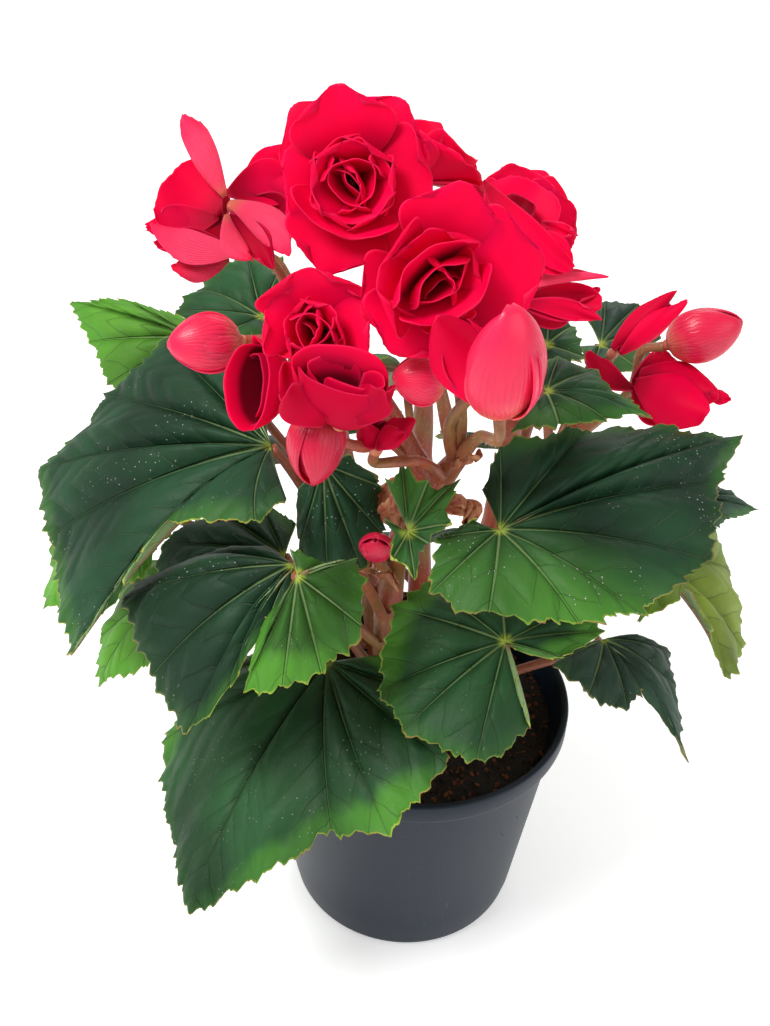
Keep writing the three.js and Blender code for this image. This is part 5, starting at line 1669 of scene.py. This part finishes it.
def stem_tree():
    """Sweeps a round skin along each line of a mesh and sets fine hairs on it."""
    g = Shape(
        "stem_skin",
        {
            "Sides": "Int",
            "Hairs per square metre": "Float",
            "Hair length": "Float",
            "Swelling": "Float",
            "Seed": "Int",
            "Skin": "Material",
            "Hair": "Material",
        },
    )
    line = g.add("GeometryNodeMeshToCurve", None, {"Mesh": g.given()})
    radius = g.add("GeometryNodeInputNamedAttribute", {"data_type": "FLOAT"}, {"Name": "radius"})
    where = g.add("GeometryNodeInputPosition")
    swell = g.add("ShaderNodeTexNoise", None, {"Vector": where, "Scale": 70.0, "Detail": 1.0})
    swell = (swell - 0.5) * g.given("Swelling") + 1.0
    line = g.add("GeometryNodeSetCurveRadius", None, {"Curve": line, "Radius": radius * swell})
    ring = g.add("GeometryNodeCurvePrimitiveCircle", None, {"Resolution": g.given("Sides"), "Radius": 1.0})
    scale = g.add("GeometryNodeInputRadius")
    skin = g.add(
        "GeometryNodeCurveToMesh",
        None,
        {"Curve": line, "Profile Curve": ring, "Scale": scale, "Fill Caps": True},
    )
    skin = g.add("GeometryNodeSetShadeSmooth", None, {"Geometry": skin, "Shade Smooth": True})
    skin = g.coated(skin, "Skin")
    hair = g.add(
        "GeometryNodeMeshCone",
        {"fill_type": "NONE"},
        {"Vertices": 3, "Radius Top": 0.0, "Radius Bottom": 0.05, "Depth": 1.0},
    )
    seed = g.given("Seed")
    size = g.chance(0.35, seed) * g.given("Hair length")
    tufts = g.strewn(skin, hair, g.given("Hairs per square metre"), seed, None, size)
    g.close(skin, g.coated(tufts, "Hair"))
    return g


def soil_tree():
    """Strews crumbs and fibres over a bed of soil."""
    g = Shape(
        "strewn_soil",
        {
            "Crumbs per square metre": "Float",
            "Fibres per square metre": "Float",
            "Crumb size": "Float",
            "Roughness": "Float",
            "Seed": "Int",
            "Crumb": "Material",
            "Fibre": "Material",
        },
    )
    bed = g.given()
    upward = g.add("ShaderNodeSeparateXYZ", None, {"Vector": g.add("GeometryNodeInputNormal")}, output=2)
    top = g.add("FunctionNodeCompare", {"operation": "GREATER_THAN"}, {0: upward, 1: 0.4})
    crumb = g.add("GeometryNodeMeshIcoSphere", None, {"Radius": 0.5, "Subdivisions": 2})
    fibre = g.add(
        "GeometryNodeMeshCylinder",
        {"fill_type": "NONE"},
        {"Vertices": 3, "Side Segments": 4, "Radius": 0.028, "Depth": 3.4},
    )
    strewn = []
    for thing, density, squash, offset, finish in (
        (crumb, "Crumbs per square metre", (0.55, 0.85), 0, "Crumb"),
        (fibre, "Fibres per square metre", (1.0, 1.0), 7, "Fibre"),
    ):
        seed = g.given("Seed") + offset
        turn = g.add(
            "FunctionNodeRandomValue",
            {"data_type": "FLOAT_VECTOR"},
            {"Min": (0.0, 0.0, 0.0), "Max": (6.3, 6.3, 6.3), "Seed": seed},
        )
        size = g.chance(0.18, seed)
        flat = g.add("ShaderNodeCombineXYZ", None, {0: size * squash[1], 1: size, 2: size * squash[0]})
        grown = g.scaled(flat, g.given("Crumb size"))
        placed = g.strewn(bed, thing, g.given(density), seed, turn, grown, top)
        where = g.add("GeometryNodeInputPosition")
        bumps = g.add("ShaderNodeTexNoise", None, {"Vector": where, "Scale": 520.0, "Detail": 2.0}, output=1)
        push = g.add("ShaderNodeVectorMath", {"operation": "SUBTRACT"}, {0: bumps, 1: (0.5, 0.5, 0.5)})
        push = g.scaled(push, g.given("Roughness"))
        placed = g.add("GeometryNodeSetPosition", None, {"Geometry": placed, "Offset": push})
        strewn.append(g.coated(placed, finish))
    g.close(bed, *strewn)
    return g


# ---- Pot and soil ----


def pot_mesh(settings, finish):
    """The pot turned from its profile, with slots lifted into its foot."""
    band = POT_HEIGHT - RIM_BAND
    slope = (RIM_RADIUS - RIM_STEP - FOOT_RADIUS) / band
    foot = FOOT_RADIUS - FOOT_ROUNDING
    hollow = FOOT_RADIUS - 3 * FOOT_ROUNDING
    curve = [
        (foot + FOOT_ROUNDING * math.sin(a), FOOT_ROUNDING * (1 - math.cos(a)))
        for a in np.radians([0, 15, 30, 45, 60, 75, 90])
    ]
    wall = [(FOOT_RADIUS + slope * z, z) for z in (8, 16, 26, 38, 50, 62, 74, 84, 90)]
    under_band = RIM_RADIUS - RIM_STEP
    inside = RIM_RADIUS - WALL
    profile = [
        (0, 0),
        (PAD_RADIUS - 0.3, 0),
        (PAD_RADIUS, 0.3),
        (PAD_RADIUS + SLOT_HEIGHT, SLOT_HEIGHT),
        (hollow - 0.8, SLOT_HEIGHT),
        (hollow, SLOT_HEIGHT * 0.5),
        (hollow + 0.6, 0),
        *curve,
        *wall,
        (under_band - 0.1, band - 0.9),
        (under_band + 0.7, band - 0.2),
        (RIM_RADIUS - 0.7, band),
        (RIM_RADIUS - 0.15, band + 0.25),
        (RIM_RADIUS, band + 0.9),
        (RIM_RADIUS, band + 4.0),
        (RIM_RADIUS, POT_HEIGHT - 1.1),
        (RIM_RADIUS - 0.2, POT_HEIGHT - 0.45),
        (RIM_RADIUS - 0.65, POT_HEIGHT - 0.08),
        (RIM_RADIUS - 1.2, POT_HEIGHT),
        (inside - 0.4, POT_HEIGHT - 0.15),
        (inside - 0.9, POT_HEIGHT - 0.9),
        (inside - RIM_STEP + 0.4, band + 0.6),
        (inside - RIM_STEP, band - 0.6),
        *((FOOT_RADIUS - WALL - 0.6 + slope * z, z) for z in (86, 78, 60, 40, 20, 8)),
        (FOOT_RADIUS - WALL - 2.5, SLOT_HEIGHT + FLOOR),
        (0, SLOT_HEIGHT + FLOOR),
    ]
    profile = np.array(profile, float)
    n, sides = len(profile), settings.segments
    turns = np.arange(sides) * 2 * np.pi / sides
    sector = 2 * np.pi / FOOT_SLOTS
    from_slot = np.abs((turns % sector) - sector / 2) * FOOT_RADIUS
    open_slot = np.clip((SLOT_WIDTH / 2 - from_slot) / SLOT_SLOPE, 0, 1)
    z = np.broadcast_to(profile[:, 1], (sides, n)).copy()
    low = (profile[:, 1] < SLOT_HEIGHT) & (profile[:, 0] > PAD_RADIUS + SLOT_HEIGHT)
    z[:, low] = z[:, low] + (SLOT_HEIGHT - z[:, low]) * open_slot[:, None]
    r = profile[:, 0]
    points = np.stack([r * np.cos(turns)[:, None], r * np.sin(turns)[:, None], z], axis=-1)
    inner = points[:, 1:-1].reshape(-1, 3)
    m = n - 2
    i, j = np.meshgrid(np.arange(sides), np.arange(m - 1), indexing="ij")
    a = (i * m + j).ravel()
    b = ((i + 1) % sides * m + j).ravel()
    quads = np.stack([a, b, b + 1, a + 1], axis=1)
    low_pole, high_pole = len(inner), len(inner) + 1
    k = np.arange(sides)
    caps = np.concatenate(
        [
            np.stack([np.full(sides, low_pole), (k + 1) % sides * m, k * m], axis=1),
            np.stack([np.full(sides, high_pole), k * m + m - 1, (k + 1) % sides * m + m - 1], axis=1),
        ]
    )
    growth = Growth()
    growth.add(np.concatenate([inner, [[0, 0, 0], [0, 0, SLOT_HEIGHT + FLOOR]]]), [quads, caps], [0, 0])
    return growth.mesh("pot_shell", [finish])


def soil_height(x, y):
    """How high the soil lies: lumpy, banked up at the front and lower along the wall elsewhere."""
    r = np.hypot(x, y)
    lumps = sum(math.sin(p) * 0.25 + np.sin(x * a + y * b + p) * h for a, b, h, p in SOIL_LUMPS)
    from_bank = (np.degrees(np.arctan2(y, x)) - BANK_BEARING) / BANK_SPREAD
    bank = BANK_HEIGHT * np.exp(-(from_bank**2)) * np.clip((r - 40) / 12, 0, 1)
    return SOIL_TOP + 0.6 + lumps + bank - 1.5 * np.clip((r - 48) / 6, 0, 1) * (bank < 0.6)


def soil_mesh(finish):
    """The body of soil, which fills the pot from its floor to its uneven top."""
    sides, rings = SOIL_GRID
    edge = RIM_RADIUS - RIM_STEP - WALL - 0.9
    floor = SLOT_HEIGHT + FLOOR + 0.4
    turns = np.arange(sides) * 2 * np.pi / sides
    radii = np.linspace(0, edge, rings)[1:]
    x = np.outer(radii, np.cos(turns))
    y = np.outer(radii, np.sin(turns))
    z = soil_height(x, y)
    top = np.stack([x, y, z], axis=-1).reshape(-1, 3)
    low_edge = FOOT_RADIUS - WALL - 1.6
    down = []
    for share in (0.34, 0.67, 1.0):
        r = edge + (low_edge - edge) * share
        height = SOIL_TOP - 3 + (floor - SOIL_TOP + 3) * share
        down.append(np.stack([r * np.cos(turns), r * np.sin(turns), np.full(sides, height)], axis=-1))
    points = np.concatenate([top, *down, [[0, 0, soil_height(0.0, 0.0)], [0, 0, floor]]])
    wall, caps = tube_faces(rings - 1 + len(down), sides)
    growth = Growth()
    growth.add(points, [wall[:, [0, 3, 2, 1]], caps[:, [0, 2, 1]]], [0, 0])
    return growth.mesh("soil_bed", [finish])


def line_mesh(lines):
    """Lines of points with a radius at each, as a mesh of edges."""
    points = np.concatenate([np.asarray(p) for p, _ in lines]) * MM
    radii = np.concatenate([np.asarray(r, float) for _, r in lines]) * MM
    edges, start = [], 0
    for p, _ in lines:
        edges.extend((start + i, start + i + 1) for i in range(len(p) - 1))
        start += len(p)
    mesh = bpy.data.meshes.new("stem_lines")
    mesh.from_pydata(points.tolist(), edges, [])
    mesh.attributes.new("radius", "FLOAT", "POINT").data.foreach_set("value", radii.astype(np.float32))
    return mesh


# ---- Operators ----


class BEGONIA_OT_pot(bpy.types.Operator):
    """Make the nursery pot, with its rim band and the slots under its foot"""

    bl_idname = "begonia.pot"
    bl_label = "Pot"

    def execute(self, context):
        settings = context.scene.begonia_pot
        shown("pot_shell", pot_mesh(settings, plastic_finish(settings)), "pot")
        return {"FINISHED"}


class BEGONIA_OT_soil(bpy.types.Operator):
    """Fill the pot with soil and strew crumbs and fibres over it"""

    bl_idname = "begonia.soil"
    bl_label = "Soil"

    def execute(self, context):
        settings = context.scene.begonia_pot
        bed = peat_finish("peat_bed", settings.peat, settings.peat_dry, 0.12)
        crumb = peat_finish("peat_crumb", settings.peat, settings.peat_dry, 0.32)
        fibre = peat_finish("peat_fibre", settings.peat_dry, settings.peat_dry, 0.5)
        made = soil_tree().run(
            soil_mesh(bed),
            {
                "Crumbs per square metre": settings.crumbs * 1000.0,
                "Fibres per square metre": settings.crumbs * 300.0,
                "Crumb size": settings.crumb_size,
                "Roughness": 0.0011,
                "Seed": SOIL_SEED,
                "Crumb": crumb,
                "Fibre": fibre,
            },
        )
        shown("soil_bed", made, "soil")
        return {"FINISHED"}


class BEGONIA_OT_stems(bpy.types.Operator):
    """Grow the five stems, each with its flower stalks and hairs"""

    bl_idname = "begonia.stems"
    bl_label = "Stems"

    def execute(self, context):
        settings = context.scene.begonia_stems
        skin = stem_finish("stem_skin", settings.skin, settings.skin_green, settings)
        hair = plain_finish("stem_hair", settings.hair, 0.6)
        dry = papery_finish(settings)
        tree = stem_tree()
        for seed, (name, stem) in enumerate(STEMS.items()):
            line = smooth_line(stem["line"], STEM_STEPS)
            marks = np.linspace(0, 1, len(stem["radii"]))
            lines = [(line, np.interp(np.linspace(0, 1, len(line)), marks, stem["radii"]))]
            for bloom, stalk in stem["stalks"].items():
                base, axis = bloom_root(bloom)
                sag = [0, 0, STALK_SAG if side_rows(bloom) else 0]
                ends = [base - axis * (HEART_RADIUS + STALK_END) - sag, base - axis * (HEART_RADIUS - 0.6)]
                path = smooth_line([*stalk, *ends], STALK_STEPS)
                lines.append((path, np.interp(np.linspace(0, 1, len(path)), *FLOWER_STALK)))
            made = tree.run(
                line_mesh(lines),
                {
                    "Sides": settings.sides,
                    "Hairs per square metre": settings.hairs * 1000.0,
                    "Hair length": settings.hair_length,
                    "Swelling": 0.5,
                    "Seed": seed,
                    "Skin": skin,
                    "Hair": hair,
                },
            )
            shown(name + "_skin", made, name)
        growth = Growth()
        rng = np.random.default_rng(STIPULE_SEED)
        flowers = context.scene.begonia_flowers
        for base, faces, reach, width in STIPULES:
            axis = compass(*faces)
            base = np.array(base, float)
            for lean_root, lean_tip, share in ((14, 30, 1.0), (20, 50, 0.8)):
                shape = (rng.uniform(0, 360), lean_root, lean_tip, reach * share, width * share, 0.5, 0.2)
                add_petal(growth, base, axis, shape, flowers, rng, (0, 0), STIPULE_GRID)
        piece = bpy.data.objects.new("stipules", growth.mesh("stipules", [dry]))
        context.scene.collection.objects.link(piece)
        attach(piece, BODY)
        return {"FINISHED"}


class BEGONIA_OT_leaves(bpy.types.Operator):
    """Grow every leaf with its stalk, teeth and veins"""

    bl_idname = "begonia.leaves"
    bl_label = "Leaves"

    def execute(self, context):
        settings = context.scene.begonia_leaves
        stems = context.scene.begonia_stems
        looks = {
            "dark": (settings.dark, 0.3, 0.9),
            "green": (settings.green, 0.8, 0.35),
            "bright": (settings.bright, 0.9, 0.2),
            "light": (settings.light, 0.8, 0.1),
            "yellow": (settings.yellow, 0.6, 0.1),
            "grey": (settings.grey, 0.35, 0.3),
        }
        faces = {
            tone: leaf_finish("leaf_" + tone, tuple(base), settings, glow, dust)
            for tone, (base, glow, dust) in looks.items()
        }
        back = leaf_back_finish(settings)
        stalk = stem_finish("leaf_stalk", settings.stalk, stems.skin_green, stems)
        for seed, (name, leaf) in enumerate({**LEAVES, **BACK_LEAVES}.items(), LEAF_SEED):
            growth = Growth()
            add_leaf(growth, name, leaf, settings, np.random.default_rng(seed))
            mesh = growth.mesh(name + "_blade", [faces[leaf["tone"]], back, stalk])
            shown(name + "_blade", mesh, name)
        return {"FINISHED"}


def side_rows(name):
    """The petals that are laid in the front view's frame, for a bloom that has no shells of its own."""
    return [] if name in BUD_SHELLS else SIDE_PETALS.get(name, []) + CUP_PETALS.get(name, [])


def bloom_root(name):
    """Where a bloom's stalk ends and which way the bloom leaves it."""
    base, faces = BLOOMS[name]
    rows = side_rows(name)
    if not rows:
        return np.array(base, float), compass(*faces)
    place = view_axes()
    middle = np.mean([row[:3] for row in rows], axis=0) - [0, 0, ROOT_BEHIND]
    return base + middle @ place, place[2]


def grow_bloom(name, settings, finishes, rng):
    """A bloom: its shells, its petals and the small heart that they grow from."""
    base, faces = BLOOMS[name]
    base, axis = np.array(base, float), compass(*faces)
    growth = Growth()
    for shell in BUD_SHELLS.get(name, []):
        add_shell(growth, base, axis, shell, 2, DEEP_BUDS.get(name, 0.0))
    back = 4 if name in STREAKED else 1
    ragged = RAGGED.get(name, LEAST_RAGGED)
    for petal in SIDE_PETALS.get(name, []):
        add_side_petal(growth, base, petal, settings, rng, (0, back), ragged)
    for petal in CUP_PETALS.get(name, []):
        add_cup_petal(growth, base, petal, settings, rng, (0, 1))
    for petal in OUTER_PETALS.get(name, []):
        add_petal(growth, base, axis, petal, settings, rng, (0, back), OUTER_GRID, ragged=ragged)
    for petal in INNER_PETALS.get(name, []):
        # painted shade: inner petals whose roots lean less lie deeper in the bloom and are darkened
        depth = np.clip((40 - petal[1]) / 34, 0, 1) * 0.8
        add_petal(growth, base, axis, petal, settings, rng, (0, 1), INNER_GRID, depth, inner=True)
    root, away = bloom_root(name)
    add_ball(growth, root - away * 0.4, away, HEART_SHARE * HEART_RADIUS, HEART_RADIUS, 3)
    return growth.mesh(name + "_petals", finishes)


class BEGONIA_OT_flowers(bpy.types.Operator):
    """Grow the open flowers, petal by petal"""

    bl_idname = "begonia.flowers"
    bl_label = "Flowers and Buds"

    def execute(self, context):
        settings = context.scene.begonia_flowers
        stems = context.scene.begonia_stems
        finishes = [
            petal_finish("petal_face", settings, "face"),
            petal_finish("petal_back", settings, "back"),
            bud_finish(settings),
            stem_finish("flower_heart", settings.bud_base, settings.petal_deep, stems),
            petal_finish("petal_back_streaked", settings, "streaked"),
        ]
        for seed, name in enumerate(BLOOMS, BLOOM_SEED):
            mesh = grow_bloom(name, settings, finishes, np.random.default_rng(seed))
            shown(name + "_petals", mesh, name)
        return {"FINISHED"}


def soft_light(name, where, size, power):
    """A round area light that faces the middle of the plant."""
    lamp = bpy.data.lights.new(name, "AREA")
    lamp.shape = "DISK"
    lamp.size = size
    lamp.energy = power
    holder = bpy.data.objects.new(name, lamp)
    holder.location = where
    holder.rotation_euler = (Vector(LIT_POINT) - Vector(where)).to_track_quat("-Z", "Y").to_euler()
    bpy.context.scene.collection.objects.link(holder)


class BEGONIA_OT_stage(bpy.types.Operator):
    """Lay the pale floor and set the studio light and the camera"""

    bl_idname = "begonia.stage"
    bl_label = "Stage"

    def execute(self, context):
        scene = context.scene
        scene.view_settings.view_transform = "Standard"
        scene.view_settings.look = "None"
        floor_mesh = bpy.data.meshes.new("floor")
        signs = ((-1, -1), (1, -1), (1, 1), (-1, 1))
        corners = [(x * FLOOR_HALF, y * FLOOR_HALF, -FLOOR_DROP) for x, y in signs]
        floor_mesh.from_pydata(corners, [], [(0, 1, 2, 3)])
        glow = {"Emission_Color": (1.0, 1.0, 1.0, 1.0), "Emission_Strength": FLOOR_GLOW}
        white = plain_finish("floor_white", (0.93, 0.93, 0.93), 0.9, **glow)
        floor_mesh.materials.append(white)
        floor = bpy.data.objects.new("floor", floor_mesh)
        scene.collection.objects.link(floor)
        world = bpy.data.worlds.new("studio")
        scene.world = world
        world.use_nodes = True
        backdrop = next(n for n in world.node_tree.nodes if n.type == "BACKGROUND")
        backdrop.inputs["Color"].default_value = (1.0, 1.0, 1.0, 1.0)
        backdrop.inputs["Strength"].default_value = SKY_STRENGTH
        for light in LIGHTS:
            soft_light(*light)
        lens = bpy.data.cameras.new("camera")
        lens.sensor_fit = "AUTO"
        lens.sensor_width = SENSOR
        lens.lens = LENS
        lens.clip_start = 0.01
        lens.clip_end = 20
        camera = bpy.data.objects.new("camera", lens)
        camera.matrix_world = Matrix.Translation(VIEW_PLACE) @ front_view()
        scene.collection.objects.link(camera)
        scene.camera = camera
        return {"FINISHED"}


PIECES = (
    BEGONIA_OT_stage,
    BEGONIA_OT_pot,
    BEGONIA_OT_soil,
    BEGONIA_OT_stems,
    BEGONIA_OT_leaves,
    BEGONIA_OT_flowers,
)
SETTINGS = {
    "begonia_pot": BegoniaPotSettings,
    "begonia_leaves": BegoniaLeafSettings,
    "begonia_stems": BegoniaStemSettings,
    "begonia_flowers": BegoniaFlowerSettings,
}


class BEGONIA_PT_panel(bpy.types.Panel):
    """Lists the begonia's pieces and what can be changed about them"""

    bl_label = "Potted Begonia"
    bl_idname = "BEGONIA_PT_panel"
    bl_space_type = "VIEW_3D"
    bl_region_type = "UI"
    bl_category = "Begonia"

    def draw(self, context):
        for piece in PIECES:
            self.layout.operator(piece.bl_idname)
        for name, group in SETTINGS.items():
            box = self.layout.box()
            box.label(text=group.__doc__)
            for field in group.__annotations__:
                box.prop(getattr(context.scene, name), field)


def register():
    for group in SETTINGS.values():
        bpy.utils.register_class(group)
    for piece in PIECES:
        bpy.utils.register_class(piece)
    bpy.utils.register_class(BEGONIA_PT_panel)
    for name, group in SETTINGS.items():
        setattr(bpy.types.Scene, name, PointerProperty(type=group))


def unregister():
    for name in SETTINGS:
        delattr(bpy.types.Scene, name)
    bpy.utils.unregister_class(BEGONIA_PT_panel)
    for group in (*PIECES, *SETTINGS.values()):
        bpy.utils.unregister_class(group)


def main():
    register()
    bpy.ops.begonia.stage()
    bpy.ops.begonia.pot()
    bpy.ops.begonia.soil()
    bpy.ops.begonia.stems()
    bpy.ops.begonia.leaves()
    bpy.ops.begonia.flowers()
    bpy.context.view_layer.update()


if __name__ == "__main__":
    main()
